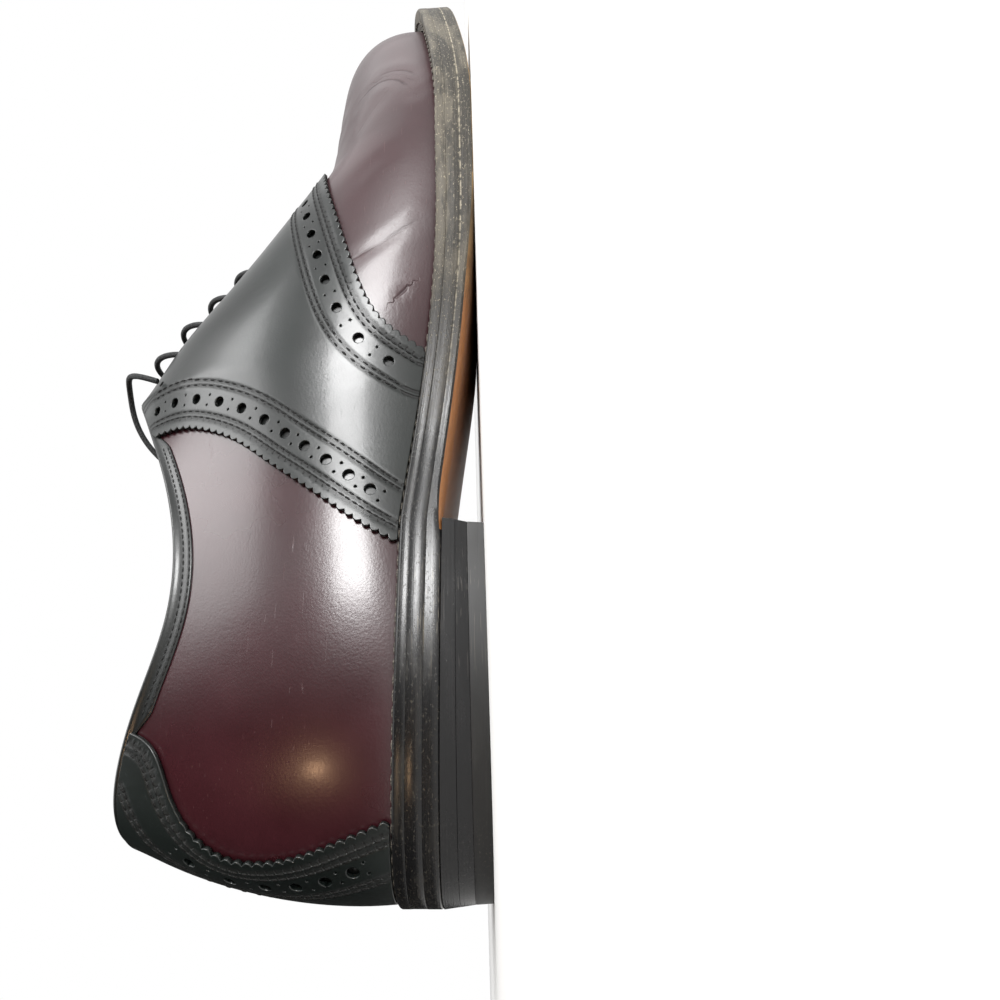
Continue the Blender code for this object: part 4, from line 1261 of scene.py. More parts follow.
def make_tongue():
    places = np.linspace(float(angle_of(CORNER)), float(angle_of(THROAT)) + TONGUE_PAST_THROAT, 60)
    depth = UPPER_WALL + GAP
    rows = []
    for turn in places:
        start = float(welt_line(np.array([turn]))[0])
        ups = start + (1 - start) * np.linspace(0.8, 1.0, 9)
        outer = offset_skin(turn, ups, np.full_like(ups, -depth))
        inner = offset_skin(2 * math.pi - turn, ups[::-1], np.full_like(ups, -depth))
        wide = abs(outer[-1][1] - inner[0][1])
        share = np.linspace(0, 1, 9)[1:-1, None]
        crown = outer[-1] * (1 - share) + inner[0] * share
        crown = crown + (0, 0, 1) * (wide * TONGUE_CROWN * 4 * share * (1 - share))
        rows.append(np.concatenate([outer, crown, inner]))
    bm = bmesh.new()
    add_sheet(bm, np.array(rows))
    bmesh.ops.remove_doubles(bm, verts=bm.verts, dist=1e-5)
    tongue = finish_piece("Tongue", bm, [PLAIN_BLACK], ["tongue"])
    wall = tongue.modifiers.new("Thickness", "SOLIDIFY")
    wall.thickness = TONGUE
    wall.offset = -1
    wall.use_even_offset = False
    return tongue


tongue = make_tongue()

# %% [markdown]
# The overlays are cut flat from a pattern, as a clicker cuts them from a hide. A pattern has two
# flat coordinates that both stand for places on the last, so a point of the pattern is a point of
# the shoe. Here the saddle is one flat piece that wraps over the instep, with a slit for the
# throat, and the heel counter is one flat piece that wraps round the heel. `walk` goes a true
# distance across the surface, which puts holes and stitches at the shoemaker's own distances from
# the cut edge.

# %% Patterns on the last
FLAT_STEP = 0.002


def over_ridge(spots, out=0.0):
    """Places of (angle, over), where over runs up the outer side to 1 and down the inner to 2."""
    angle, over = spots[..., 0], spots[..., 1]
    turn = np.where(over <= 1, angle, 2 * math.pi - angle)
    return offset_skin(turn, 1 - np.abs(1 - over), np.broadcast_to(out, turn.shape))


def round_heel(spots, out=0.0):
    """Places of (turn, up), where turn is negative on the inner side."""
    turn, up = spots[..., 0], spots[..., 1]
    return offset_skin(np.mod(turn, 2 * math.pi), np.clip(up, 0, 1), np.broadcast_to(out, turn.shape))


def side_steps(shape, spots):
    """How the place on the shoe moves with each of the two flat coordinates."""
    first = np.array([FLAT_STEP, 0.0])
    second = np.array([0.0, FLAT_STEP])
    across = (shape(spots + first) - shape(spots - first)) / (2 * FLAT_STEP)
    along = (shape(spots + second) - shape(spots - second)) / (2 * FLAT_STEP)
    return across, along


def walk(shape, spots, heading, distance, steps=6):
    """Go a distance across the surface from each spot, keeping to its heading."""
    spots = np.array(spots, float)
    heading = np.array(heading, float)
    stride = np.broadcast_to(distance, len(spots))[:, None] / steps
    for _ in range(steps):
        a, b = side_steps(shape, spots)
        aa, ab, bb = (a * a).sum(1), (a * b).sum(1), (b * b).sum(1)
        ha, hb = (heading * a).sum(1), (heading * b).sum(1)
        determinant = aa * bb - ab * ab
        move = np.column_stack([ha * bb - hb * ab, hb * aa - ha * ab]) / determinant[:, None]
        flat = a * move[:, :1] + b * move[:, 1:]
        size = np.linalg.norm(flat, axis=1, keepdims=True)
        spots += move / size * stride
        heading = flat / size
    return spots


def smooth_rows(values, reach):
    """Average of each row of values with its neighbours on both sides."""
    padded = np.concatenate([values[:1].repeat(reach, 0), values, values[-1:].repeat(reach, 0)])
    sums = sum(padded[shift:shift + len(values)] for shift in range(2 * reach + 1))
    return sums / (2 * reach + 1)


class Trail:
    """A cut edge on the pattern: spots at even lengths, with its heading and the way outward."""

    def __init__(self, shape, spots, outward_sign, stride=0.00026):
        places = shape(spots)
        length = path_length(places)
        at = np.linspace(0, length[-1], int(length[-1] / stride))
        self.shape = shape
        self.length = at
        self.spots = np.column_stack([np.interp(at, length, spots[:, axis]) for axis in (0, 1)])
        self.places = shape(self.spots)
        tangent = smooth_rows(np.gradient(self.places, axis=0), 5)
        self.tangent = tangent / np.linalg.norm(tangent, axis=1, keepdims=True)
        a, b = side_steps(shape, self.spots)
        normal = np.cross(a, b)
        side = np.cross(normal, self.tangent) * outward_sign
        self.out = side / np.linalg.norm(side, axis=1, keepdims=True)

    def row(self, distance, start, pitch, end=None):
        """Spots of a row that runs beside the edge, inward by a distance, and their directions."""
        last = self.length[-1] if end is None else end
        at = np.arange(start, last, pitch)
        pick = np.clip(np.searchsorted(self.length, at), 0, len(self.length) - 1)
        spots = walk(self.shape, self.spots[pick], -self.out[pick], distance)
        return spots, self.tangent[pick], at

    def toothed(self, pitch, depth, fade=None):
        """The edge itself with rounded teeth between sharp notches."""
        teeth = depth * (np.abs(np.sin(math.pi * self.length / pitch)) - 0.5)
        if fade is not None:
            teeth = teeth * fade(self.places)
        return walk(self.shape, self.spots, self.out, teeth, steps=1)


# %% Cut edges in the side view
SADDLE_FRONT = (
    # along, height
    (0.432, 0.060), (0.446, 0.110), (0.468, 0.215), (0.486, 0.272), (0.513, 0.315),
    (0.550, 0.352), (0.595, 0.392), (0.640, 0.428), (0.690, 0.462), (0.720, 0.500),
)
SADDLE_REAR = (
    # along, height
    (0.262, 0.120), (0.292, 0.290), (0.327, 0.435), (0.353, 0.540), (0.377, 0.635),
    (0.393, 0.730), (0.401, 0.810), (0.400, 0.960),
)
COUNTER_FRONT = (
    # along, height
    (0.082, 0.130), (0.071, 0.225), (0.058, 0.330), (0.047, 0.430), (0.043, 0.520),
    (0.047, 0.600), (0.063, 0.665), (0.090, 0.715), (0.122, 0.765), (0.138, 0.900),
)
OVERLAY_FOOT = 0.0006


def edge_at_height(rows):
    """A function that gives the cut edge's x for a height."""
    line = smooth_path(np.array(rows) * (SOLE_LENGTH, INSTEP_HEIGHT), 0.001)
    order = np.argsort(line[:, 1])
    return lambda z: np.interp(z, line[order, 1], line[order, 0])


def find_edge(edge, up, side, low, high):
    """Angles at which the skin's rows cross an edge drawn in the side view, by halving."""
    low = np.full_like(up, low)
    high = np.full_like(up, high)
    for _ in range(40):
        middle = (low + high) / 2
        place = skin(middle if side < 0 else 2 * math.pi - middle, up)
        ahead = place[:, 0] > edge(place[:, 2])
        high = np.where(ahead, middle, high)
        low = np.where(ahead, low, middle)
    return (low + high) / 2


def cut_line(rows, side, low, high, top=1.0):
    """A cut edge from the welt to the top line, as (angle, up)."""
    edge = edge_at_height(rows)
    up = np.linspace(0.02, top, 500)
    angle = find_edge(edge, up, side, low, high)
    foot = welt_line(angle if side < 0 else 2 * math.pi - angle, GAP + OVERLAY_FOOT)
    clear = np.flatnonzero(up > foot)[0]
    start = float(foot[clear])
    for _ in range(6):
        first = find_edge(edge, np.array([start]), side, low, high)
        start = float(welt_line(first if side < 0 else 2 * math.pi - first, GAP + OVERLAY_FOOT)[0])
    spots = np.column_stack([angle[clear:], up[clear:]])
    return np.concatenate([[(float(first[0]), start)], spots[spots[:, 1] > start + 0.002]])


def foot_line(first, last, shape_turn):
    """The overlay's lower edge just above the welt, between two flat coordinates."""
    at = np.linspace(first, last, 240)[1:-1]
    return np.column_stack([at, welt_line(np.mod(shape_turn(at), 2 * math.pi), GAP + OVERLAY_FOOT)])


# %% Cut an overlay from its pattern
CUT_STEP = 0.0024
EDGE_ROLL = 0.00030
ROLL_RINGS = ((0.35, 0.0), (0.75, 0.22), (0.95, 0.60), (1.0, 1.1))
HOLE_SIDES = 14


def hole_ring(shape, spot, radius, sides=HOLE_SIDES):
    """A round hole about a spot, with its sides at a true distance."""
    spots = np.repeat(np.array(spot)[None], sides, 0)
    a, b = side_steps(shape, spots)
    first = a / np.linalg.norm(a, axis=1, keepdims=True)
    second = np.cross(np.cross(a, b), first)
    second /= np.linalg.norm(second, axis=1, keepdims=True)
    angle = np.linspace(0, 2 * math.pi, sides, endpoint=False)[:, None]
    return walk(shape, spots, first * np.cos(angle) + second * np.sin(angle), radius, steps=2)


def add_loop(bm, flat):
    """A closed loop of edges: one edge extruded point by point and joined at its end."""
    first = bmesh.ops.create_vert(bm, co=(*flat[0], 0))["vert"][0]
    last = first
    edges = []
    for point in flat[1:]:
        made = bmesh.ops.extrude_vert_indiv(bm, verts=[last])
        last = made["verts"][0]
        last.co = (*point, 0)
        edges.append(made["edges"][0])
    edges.append(bm.edges.new((last, first)))
    return edges


def flat_outward(edges):
    """For every vertex of the boundary, the way out of the leather in the flat pattern."""
    ways = {}
    for edge in edges:
        face = edge.link_faces[0]
        one, two = edge.verts
        run = (two.co - one.co).normalized()
        way = Vector((run.y, -run.x, 0))
        if way.dot(face.calc_center_median() - one.co) > 0:
            way = -way
        for vert in edge.verts:
            ways[vert] = ways.get(vert, Vector()) + way
    return {vert: way.normalized() for vert, way in ways.items()}


def cut_pattern(outline, holes, scale, thickness=OVERLAY, base=GAP):
    """Fill the flat outline, roll its edges and close it below; z is the distance from the last."""
    bm = bmesh.new()
    edges = add_loop(bm, outline * scale)
    for hole in holes:
        edges += add_loop(bm, hole * scale)
    bmesh.ops.triangle_fill(bm, use_beauty=True, edges=edges, normal=(0, 0, 1))
    places = flat_places(bm.verts)
    for axis in (0, 1):
        normal = Vector((1, 0, 0)) if axis == 0 else Vector((0, 1, 0))
        for at in np.arange(places[:, axis].min() + CUT_STEP / 2, places[:, axis].max(), CUT_STEP):
            geometry = bm.verts[:] + bm.edges[:] + bm.faces[:]
            bmesh.ops.bisect_plane(bm, geom=geometry, dist=1e-6, plane_co=normal * at, plane_no=normal)
    top = base + thickness
    for vert in bm.verts:
        vert.co.z = top
    boundary = [edge for edge in bm.edges if len(edge.link_faces) == 1]
    ways = flat_outward(boundary)
    sheet = bm.faces[:]
    under = bmesh.ops.duplicate(bm, geom=bm.verts[:] + bm.edges[:] + sheet)
    lower = [item for item in under["geom"] if isinstance(item, bmesh.types.BMVert)]
    for vert in lower:
        vert.co.z = base
    levels = [(out * EDGE_ROLL, top - down * EDGE_ROLL) for out, down in ROLL_RINGS]
    levels += [(EDGE_ROLL, base + EDGE_ROLL), (0.0, base)]
    origins = {vert: (vert.co.copy(), ways[vert]) for vert in ways}
    current = boundary
    for out, level in levels:
        made = bmesh.ops.extrude_edge_only(bm, edges=current)["geom"]
        new_verts = [item for item in made if isinstance(item, bmesh.types.BMVert)]
        current = [item for item in made if isinstance(item, bmesh.types.BMEdge)]
        fresh = set(new_verts)
        following = {}
        for vert in new_verts:
            old = next(edge.other_vert(vert) for edge in vert.link_edges if edge.other_vert(vert) in origins
                       and edge.other_vert(vert) not in fresh)
            home, way = origins[old]
            following[vert] = (home, way)
            vert.co = home + way * out
            vert.co.z = level
        origins = following
    bmesh.ops.remove_doubles(bm, verts=bm.verts, dist=2e-6)
    return bm


def pull_over_last(bm, shape, scale):
    """Turn flat pattern places into places on the last."""
    flat = flat_places(bm.verts)
    set_places(bm.verts, shape(flat[:, :2] / scale, flat[:, 2]))


def seam_values(places, trails):
    """Along and distance from the nearest cut edge for every place, for the finish's furrows."""
    points = np.concatenate([trail.places - ORIGIN for trail in trails])
    along = np.concatenate([trail.length for trail in trails])
    tree = KDTree(len(points))
    for index, point in enumerate(points):
        tree.insert(point, index)
    tree.balance()
    found = [tree.find(place) for place in places]
    nearest = np.array([index for _, index, _ in found])
    distance = np.array([gap for _, _, gap in found])
    return np.column_stack([along[nearest], distance, np.zeros(len(places))])


# %% Stitches
STITCH_LENGTH = 0.00195
STITCH_WIDTH = 0.00075
STITCH_SINK = 0.00012


def stitch_shape():
    """One rounded stitch along X, a unit long and wide, as arrays of its places and faces."""
    bm = bmesh.new()
    bmesh.ops.create_uvsphere(bm, u_segments=6, v_segments=5, radius=0.5,
                              matrix=Matrix.Rotation(math.pi / 2, 4, "Y"))
    bm.verts.index_update()
    places = flat_places(bm.verts)
    faces = [[vert.index for vert in face.verts] for face in bm.faces]
    bm.free()
    return places, faces


STITCH_PLACES, STITCH_FACES = stitch_shape()


def stitches_at(sewn, places, headings, normals, length=STITCH_LENGTH, width=STITCH_WIDTH):
    """Add the corners of one stitch per place to a list, each lying along its heading."""
    for place, heading, normal in zip(places, headings, normals):
        side = np.cross(normal, heading)
        side /= np.linalg.norm(side)
        axes = np.array([np.cross(side, normal) * length, side * width, normal * width])
        sewn.append(place + STITCH_PLACES @ axes)


def finish_stitches(name, sewn, finish):
    """Join all stitches of an area in one piece."""
    count = len(STITCH_PLACES)
    faces = [[corner + count * number for corner in face] for number in range(len(sewn))
             for face in STITCH_FACES]
    mesh = bpy.data.meshes.new(name + "_joined")
    mesh.from_pydata(np.concatenate(sewn), [], faces)
    bm = bmesh.new()
    bm.from_mesh(mesh)
    bpy.data.meshes.remove(mesh)
    return finish_piece(name, bm, [finish])


def row_of_stitches(sewn, shape, spots, headings, out, keep, **size):
    """Stitches beside a cut edge, leaving out those that fall off the leather."""
    inside = keep(spots)
    spots, headings = spots[inside], headings[inside]
    a, b = side_steps(shape, spots)
    normals = np.cross(a, b)
    normals /= np.linalg.norm(normals, axis=1, keepdims=True)
    middle = shape(spots, 0.0)
    flip = np.sign((normals * (shape(spots, 0.001) - middle)).sum(1))[:, None]
    stitches_at(sewn, shape(spots, out), headings, normals * flip, **size)
    return len(spots)


# %% [markdown]
# The saddle. Its two cut edges are pinked, so they end in small rounded teeth. Beside each edge run
# two close rows of stitches, a line of punched holes, and two more rows. A large hole takes turns
# with a pair of small ones. Five eyelets per side are punched through near the throat.

# %% Saddle
OVER_SCALE = np.array([0.150, 0.088])
TEETH_PITCH = 0.0026
TEETH_DEPTH = 0.0011
SLIT = 0.004
BIG_HOLE = 0.00175
SMALL_HOLE = 0.0006
HOLE_LINE = 0.0083
SMALL_OFF = 0.00155
FRONT_HOLES = (0.0060, 0.0088)
REAR_HOLES = (0.0060, 0.0074)
LACE_ROWS = 5
LACE_PITCH = 0.0135
TOP_EYELET = 0.0040
EYELET_FROM_EDGE = 0.0095
EYELET_RADIUS = 0.0013


def facing_turn(distance):
    """The column that passes the facing's edge a distance down from its top corner."""
    turn = np.linspace(float(angle_of(CORNER)), float(angle_of(THROAT)), 200)
    return float(np.interp(distance, path_length(skin(turn, 1.0)), turn))


def eyelet(turn):
    """Share of height of an eyelet, a set distance in from the facing's edge."""
    up = np.linspace(1.0, 0.5, 60)
    return float(np.interp(EYELET_FROM_EDGE, path_length(skin(np.full_like(up, turn), up)), up))


def eyelet_spots():
    """Places of the eyelets, top pair first, as (angle, over) on the outer and the inner side."""
    pairs = []
    for number in range(LACE_ROWS):
        turn = facing_turn(TOP_EYELET + LACE_PITCH * number)
        up = eyelet(turn)
        pairs.append(((turn, up), (turn, 2 - up)))
    return pairs


def brogue_holes(trail, start, pitch, keep):
    """Large holes in a line beside the edge, and a pair of small ones between each two."""
    rings = []
    centres, _, _ = trail.row(HOLE_LINE, start, pitch)
    for spot in centres[keep(centres)]:
        rings.append(hole_ring(trail.shape, spot, BIG_HOLE))
    for off in (-SMALL_OFF, SMALL_OFF):
        between_spots, _, _ = trail.row(HOLE_LINE + off, start + pitch / 2, pitch)
        for spot in between_spots[keep(between_spots)]:
            rings.append(hole_ring(trail.shape, spot, SMALL_HOLE, 8))
    return rings


def make_saddle():
    angles = (float(angle_of(0.30)), float(angle_of(0.86)), float(angle_of(0.14)), float(angle_of(CORNER)))
    outer_front = cut_line(SADDLE_FRONT, -1, angles[0], angles[1])
    inner_front = cut_line(SADDLE_FRONT, 1, angles[0], angles[1])
    mirrored = np.column_stack([inner_front[::-1, 0], 2 - inner_front[::-1, 1]])
    front = Trail(over_ridge, np.concatenate([outer_front, mirrored[1:]]), -1)
    outer_line = cut_line(SADDLE_REAR, -1, angles[2], angles[3], 1 - SLIT)
    inner_line = cut_line(SADDLE_REAR, 1, angles[2], angles[3], 1 - SLIT)
    outer_rear = Trail(over_ridge, outer_line, 1)
    inner_rear = Trail(over_ridge, np.column_stack([inner_line[:, 0], 2 - inner_line[:, 1]]), -1)
    throat = float(angle_of(THROAT))
    slit_back = np.linspace(outer_line[-1, 0], throat, 200)[1:-1]
    slit_outer = np.column_stack([slit_back, np.full_like(slit_back, 1 - SLIT)])
    slit_inner = np.column_stack([slit_back[::-1], np.full_like(slit_back, 1 + SLIT)])
    inner_foot = foot_line(mirrored[-1, 0], inner_line[0, 0], lambda at: 2 * math.pi - at)
    inner_foot[:, 1] = 2 - inner_foot[:, 1]
    outer_foot = foot_line(outer_line[0, 0], outer_front[0, 0], lambda at: at)
    outline = np.concatenate([
        front.toothed(TEETH_PITCH, TEETH_DEPTH), inner_foot, inner_rear.toothed(TEETH_PITCH, TEETH_DEPTH),
        slit_inner, [(throat + 0.004, 1.0)], slit_outer[::-1],
        outer_rear.toothed(TEETH_PITCH, TEETH_DEPTH)[::-1], outer_foot])

    def on_leather(spots, margin=0.03):
        up = 1 - np.abs(1 - spots[:, 1])
        turn = np.where(spots[:, 1] <= 1, spots[:, 0], 2 * math.pi - spots[:, 0])
        high = (up < 1 - SLIT - margin) | (spots[:, 0] > throat + 0.05)
        return (up > welt_line(turn, GAP + OVERLAY_FOOT) + margin * 0.5) & high
    holes = [hole_ring(over_ridge, spot, EYELET_RADIUS) for pair in eyelet_spots() for spot in pair]
    middle_at = float(np.interp(1.0, front.spots[:, 1], front.length))
    outer_half = brogue_holes(front, FRONT_HOLES[0], FRONT_HOLES[1], lambda spots: on_leather(spots, 0.06)
                              & (spots[:, 1] < 0.86))
    inner_start = front.length[-1] - middle_at + middle_at % FRONT_HOLES[1]
    inner_holes = brogue_holes(front, inner_start, FRONT_HOLES[1], lambda spots: on_leather(spots, 0.06)
                               & (spots[:, 1] > 1.14))
    holes += outer_half + inner_holes
    for trail in (outer_rear, inner_rear):
        holes += brogue_holes(trail, REAR_HOLES[0], REAR_HOLES[1], lambda spots: on_leather(spots, 0.06))
    bm = cut_pattern(outline, holes, OVER_SCALE)
    pull_over_last(bm, over_ridge, OVER_SCALE)
    places = flat_places(bm.verts) - ORIGIN
    trails = [front, outer_rear, inner_rear]
    saddle = finish_piece("Saddle", bm, [BLACK_CALF], ["saddle"],
                          ("seam", seam_values(places, trails)))
    sewn = []
    count = 0
    for trail in trails:
        for row in STITCH_ROWS:
            spots, headings, _ = trail.row(row, STITCH_PITCH / 2, STITCH_PITCH)
            keep = on_leather
            if trail is front:
                half = np.arange(len(spots)) < len(spots) * middle_at / front.length[-1]
                crossed = np.where(half, spots[:, 1] > 1.0, spots[:, 1] < 1.0)
                spots, headings = spots[~crossed], headings[~crossed]
            count += row_of_stitches(sewn, over_ridge, spots, headings, GAP + OVERLAY - STITCH_SINK, keep)
    finish_stitches("Saddle_stitches", sewn, BLACK_THREAD)
    print("Saddle has", len(holes), "holes and", count, "stitches")
    return saddle


saddle = make_saddle()

# %% [markdown]
# The heel counter is the second overlay. Its pattern wraps round the heel, so its flat coordinates
# are the place round the shoe and the height. Its teeth stop where the edge is rolled under near
# the collar.

# %% Heel counter
HEEL_SCALE = np.array([0.078, 0.088])
COUNTER_LINE = 0.0075
COUNTER_HOLES = (0.0050, 0.0070)
TEETH_END = (0.62 * INSTEP_HEIGHT, 0.72 * INSTEP_HEIGHT)


def make_counter():
    low, high = 0.03, float(angle_of(0.27))
    outer_line = cut_line(COUNTER_FRONT, -1, low, high, 0.995)
    inner_line = cut_line(COUNTER_FRONT, 1, low, high, 0.995)
    inner_spots = inner_line * (-1, 1)
    outer = Trail(round_heel, outer_line, -1)
    inner = Trail(round_heel, inner_spots, 1)
    top = np.linspace(outer_line[-1, 0], inner_spots[-1, 0], 200)[1:-1]
    top_edge = np.column_stack([top, np.full_like(top, 0.995)])
    foot = foot_line(inner_spots[0, 0], outer_line[0, 0], lambda at: at)

    def fade(places):
        return 1 - ease((places[:, 2] - TEETH_END[0]) / (TEETH_END[1] - TEETH_END[0]))

    def on_leather(spots, margin=0.02):
        clear = welt_line(np.mod(spots[:, 0], 2 * math.pi), GAP + OVERLAY_FOOT) + margin
        return (spots[:, 1] > clear) & (spots[:, 1] < 0.99 - margin)
    outline = np.concatenate([outer.toothed(TEETH_PITCH, TEETH_DEPTH, fade), top_edge,
                              inner.toothed(TEETH_PITCH, TEETH_DEPTH, fade)[::-1], foot])
    holes = []
    for trail in (outer, inner):
        centres, _, _ = trail.row(COUNTER_LINE, COUNTER_HOLES[0], COUNTER_HOLES[1], 0.052)
        holes += [hole_ring(round_heel, spot, BIG_HOLE) for spot in centres[on_leather(centres, 0.05)]]
        for off in (-SMALL_OFF, SMALL_OFF):
            pairs, _, _ = trail.row(COUNTER_LINE + off, sum(COUNTER_HOLES) - COUNTER_HOLES[1] / 2,
                                    COUNTER_HOLES[1], 0.052)
            holes += [hole_ring(round_heel, spot, SMALL_HOLE, 8) for spot in pairs[on_leather(pairs, 0.05)]]
    bm = cut_pattern(outline, holes, HEEL_SCALE)
    pull_over_last(bm, round_heel, HEEL_SCALE)
    values = seam_values(flat_places(bm.verts) - ORIGIN, [outer, inner])
    counter = finish_piece("Heel_counter", bm, [COUNTER_CALF], ["heel_counter"],
                           ("seam", values))
    sewn = []
    count = 0
    for trail in (outer, inner):
        for row in COUNTER_ROWS:
            spots, headings, _ = trail.row(row, STITCH_PITCH / 2, STITCH_PITCH)
            count += row_of_stitches(sewn, round_heel, spots, headings, GAP + OVERLAY - STITCH_SINK,
                                     on_leather)
    finish_stitches("Counter_stitches", sewn, BLACK_THREAD)
    print("Counter has", len(holes), "holes and", count, "stitches")
    return counter


counter = make_counter()

# %% [markdown]
# Under the overlays the upper is black leather, as the holes of the overlays show. The upper's faces
# there take the black finish. They stop a little inside the cut edges, so that no black shows beside
# the teeth.

# %% Black leather under the overlays
UNDER_MARGIN = 0.0035


def paint_under_overlays(upper):
    front, rear, heel = (edge_at_height(rows) for rows in (SADDLE_FRONT, SADDLE_REAR, COUNTER_FRONT))
    painted = 0
    for face in upper.data.polygons:
        x, _, z = np.array(face.center) + ORIGIN
        saddle_under = rear(z) + UNDER_MARGIN < x < front(z) - UNDER_MARGIN
        if saddle_under or x < heel(z) - UNDER_MARGIN:
            face.material_index = 2
            painted += 1
    print("Black faces under the overlays:", painted)


paint_under_overlays(upper)

# %% [markdown]
# The collar is bound with a strip of black tape. It is folded over the top line in a small bead and
# shows as a flat band on the outside between the saddle and the counter, sewn with two rows. The
# band is swept: one section, whose outer leg grows and fades, is carried round the top line.

# %% Collar binding
BAND_WIDTH = 0.0038
BAND_THICK = 0.0005
BAND_SPAN = (0.125, 0.150, 0.385, 0.410)
BINDING_HEIGHT = 0.0016
BAND_ROWS = (0.0013, 0.0031)
BAND_PITCH = 0.0019
INSIDE_LEG = 0.0022


def band_share(turn):
    """1 between counter and saddle, 0 where an overlay covers the tape."""
    share = skin(turn, 1.0)[:, 0] / SOLE_LENGTH
    start, full, fade, end = BAND_SPAN
    return ease((share - start) / (full - start)) * (1 - ease((share - fade) / (end - fade)))


def below_top(turn, drop):
    """Share of height a distance down the skin from the top line, column by column."""
    ups = np.linspace(1.0, 0.7, 40)
    found = np.empty(len(turn))
    for index, place in enumerate(turn):
        length = path_length(skin(np.full_like(ups, place), ups))
        found[index] = np.interp(drop[index], length, ups)
    return found


def make_binding():
    half = np.linspace(0, float(angle_of(CORNER)), 160)
    order = np.concatenate([-half[::-1][:-1], half])
    turn = np.mod(order, 2 * math.pi)
    leg = 0.0004 + (BAND_WIDTH - 0.0004) * band_share(turn)
    edge = skin(turn, 1.0)
    out = skin_normal(turn, 1.0)
    up = edge - skin(turn, 0.97)
    up /= np.linalg.norm(up, axis=1, keepdims=True)
    rows = []
    for share, thick in ((1.0, 0.05), (1.0, 0.7), (0.93, 1.0), (0.6, 1.0), (0.25, 1.0)):
        rows.append(offset_skin(turn, below_top(turn, leg * share), np.full_like(turn, BAND_THICK * thick)))
    bead = (
        # out in walls, up in bead heights
        (0.45, 0.05), (0.62, 0.35), (0.55, 0.75), (0.25, 0.98), (-0.25, 1.04), (-0.75, 0.95), (-1.08, 0.65),
        (-1.17, 0.25),
    )
    for side, rise in bead:
        rows.append(edge + out * UPPER_WALL * side + up * (GAP + BINDING_HEIGHT * rise))
    inner = below_top(turn, np.full_like(turn, INSIDE_LEG))
    for deep in (1.28, 0.85):
        rows.append(offset_skin(turn, inner, np.full_like(turn, -UPPER_WALL * deep)))
    rows.append(edge - out * UPPER_WALL * 0.5)
    rows.append(rows[0])
    bm = bmesh.new()
    add_sheet(bm, np.array(rows))
    bmesh.ops.remove_doubles(bm, verts=bm.verts, dist=WELD)
    bmesh.ops.holes_fill(bm, edges=[edge for edge in bm.edges if edge.is_boundary], sides=0)
    binding = finish_piece("Collar_binding", bm, [PLAIN_BLACK], ["collar_binding"])
    sewn = []
    count = 0
    fine = np.linspace(-half[-1], half[-1], 4000)
    for drop in BAND_ROWS:
        at = np.mod(fine, 2 * math.pi)
        length = path_length(skin(at, 1.0))
        picks = np.interp(np.arange(0.001, length[-1], BAND_PITCH), length, fine)
        picks = picks[band_share(np.mod(picks, 2 * math.pi)) > 0.97]
        turns = np.mod(picks, 2 * math.pi)
        ups = below_top(turns, np.full_like(turns, drop))
        places = offset_skin(turns, ups, np.full_like(turns, BAND_THICK - STITCH_SINK))
        ahead = skin(np.mod(picks + 0.002, 2 * math.pi), ups) - skin(turns, ups)
        ahead /= np.linalg.norm(ahead, axis=1, keepdims=True)
        stitches_at(sewn, places, ahead, skin_normal(turns, ups), length=0.0016, width=0.00065)
        count += len(picks)
    finish_stitches("Collar_stitches", sewn, BLACK_THREAD)
    print("Collar has", count, "stitches")
    return binding


binding = make_binding()

# %% [markdown]
# The welt is sewn through with a thick waxed thread. Its stitches lie in a groove on top of the
# welt and are half sunk and worn, so only their backs show.

# %% Stitches of the welt
WELT_PITCH = 0.0036
WELT_LINE = 0.62


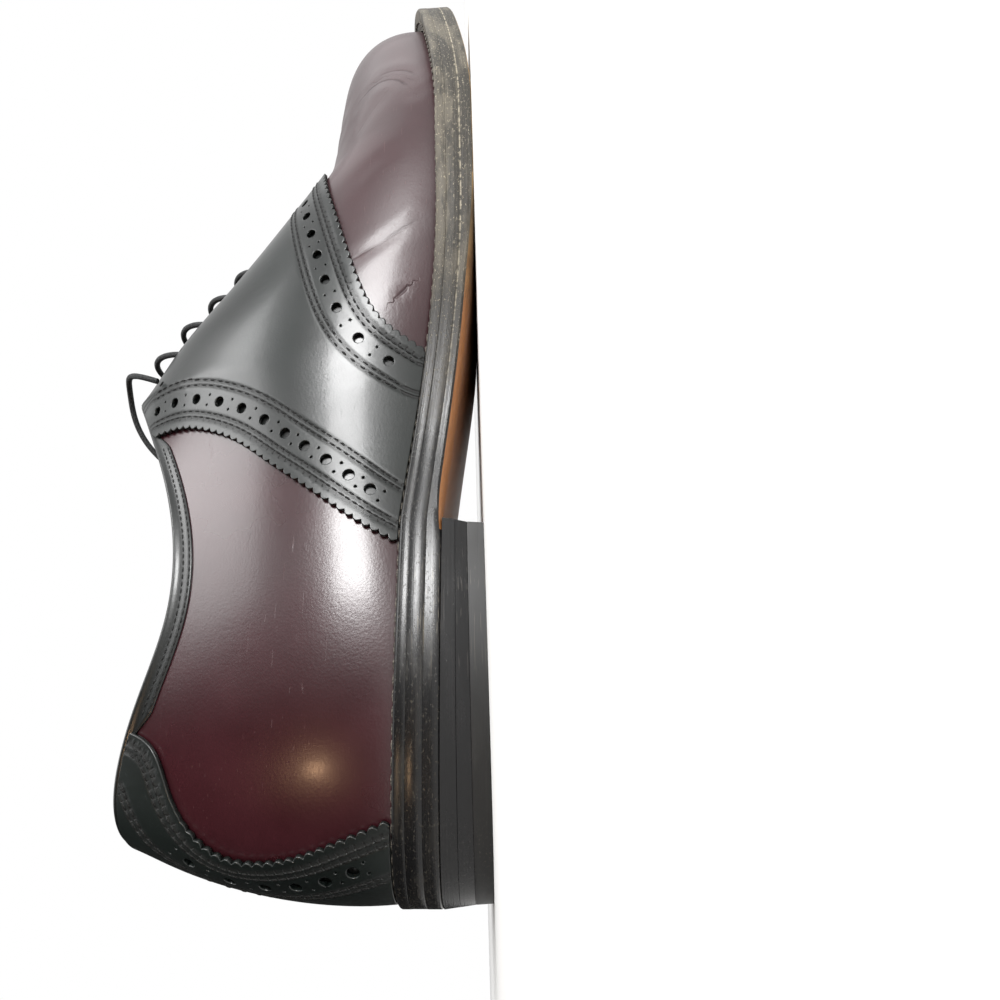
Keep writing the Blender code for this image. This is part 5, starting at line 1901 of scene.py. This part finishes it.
def sew_welt():
    fine = np.linspace(0, 2 * math.pi, 4000)
    inner = offset_skin(fine, welt_line(fine), np.full_like(fine, GAP))[:, :2]
    line = inset_edge(fine, 0.0) * (1 - WELT_LINE) + inner * WELT_LINE
    height = sole_bottom(line[:, 0]) + LAYER_BASES["welt"] + WELT
    path = np.column_stack([line, height])
    length = path_length(path)
    at = np.arange(WELT_PITCH, length[-1] - WELT_PITCH, WELT_PITCH)
    places = np.column_stack([np.interp(at, length, path[:, axis]) for axis in range(3)])
    ahead = np.column_stack([np.interp(at + 0.0005, length, path[:, axis]) for axis in range(3)]) - places
    ahead /= np.linalg.norm(ahead, axis=1, keepdims=True)
    normals = np.tile([0.0, 0.0, 1.0], (len(at), 1))
    sewn = []
    stitches_at(sewn, places, ahead, normals, length=0.0030, width=0.00085)
    finish_stitches("Welt_stitches", sewn, WELT_THREAD)
    print("Welt has", len(at), "stitches")


sew_welt()

# %% [markdown]
# The lace runs through the eyelets in straight bars over the throat. Each bar rises out of its
# eyelet, arches over both facings and dips into the eyelet across. The lace's inner end stays
# under the facing and stops at the inner top eyelet.

# %% Lace bars
LACE_RISE = 0.0078
LACE_LEAN = 0.25
BAR_PLACES = 15
EYELET_DIP = 0.0012


def bar_route(turn, up):
    """Half an ellipse that rises out of one eyelet, clears both facings and sinks into the other."""
    seat = GAP + OVERLAY + GAP + LACE / 2
    places = (turn, 2 * math.pi - turn)
    near, far = (offset_skin(place, up, -EYELET_DIP) for place in places)
    edge = sum(offset_skin(place, 1.0, seat) for place in places) / 2
    middle = (near + far) / 2
    crown = edge + np.array([LACE_LEAN, 0, 1]) * LACE_RISE
    angles = np.linspace(0, math.pi, BAR_PLACES)[:, None]
    return middle + (near - middle) * np.cos(angles) + (crown - middle) * np.sin(angles) - ORIGIN


def add_lace(name, points, replaced=()):
    piece = cord_curve(name, points)
    piece.data.materials.append(WAXED_LACE)
    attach(piece, "root")
    if replaced:
        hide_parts(*replaced)
    return piece


def lace_up():
    for number in range(1, LACE_ROWS):
        turn = facing_turn(TOP_EYELET + LACE_PITCH * number)
        route = bar_route(turn, eyelet(turn))
        add_lace("Lace_bar_%d" % number, smooth_path(route, LACE_STRIDE), ["lace_bar_%d" % number])
    top = facing_turn(TOP_EYELET)
    up = eyelet(top)
    stub = [offset_skin(2 * math.pi - top, up, out) - ORIGIN for out in (-0.0016, -0.0004, 0.0008)]
    add_lace("Lace_inner_end", smooth_path(stub, LACE_STRIDE))
    print("Laced", LACE_ROWS - 1, "bars")


lace_up()
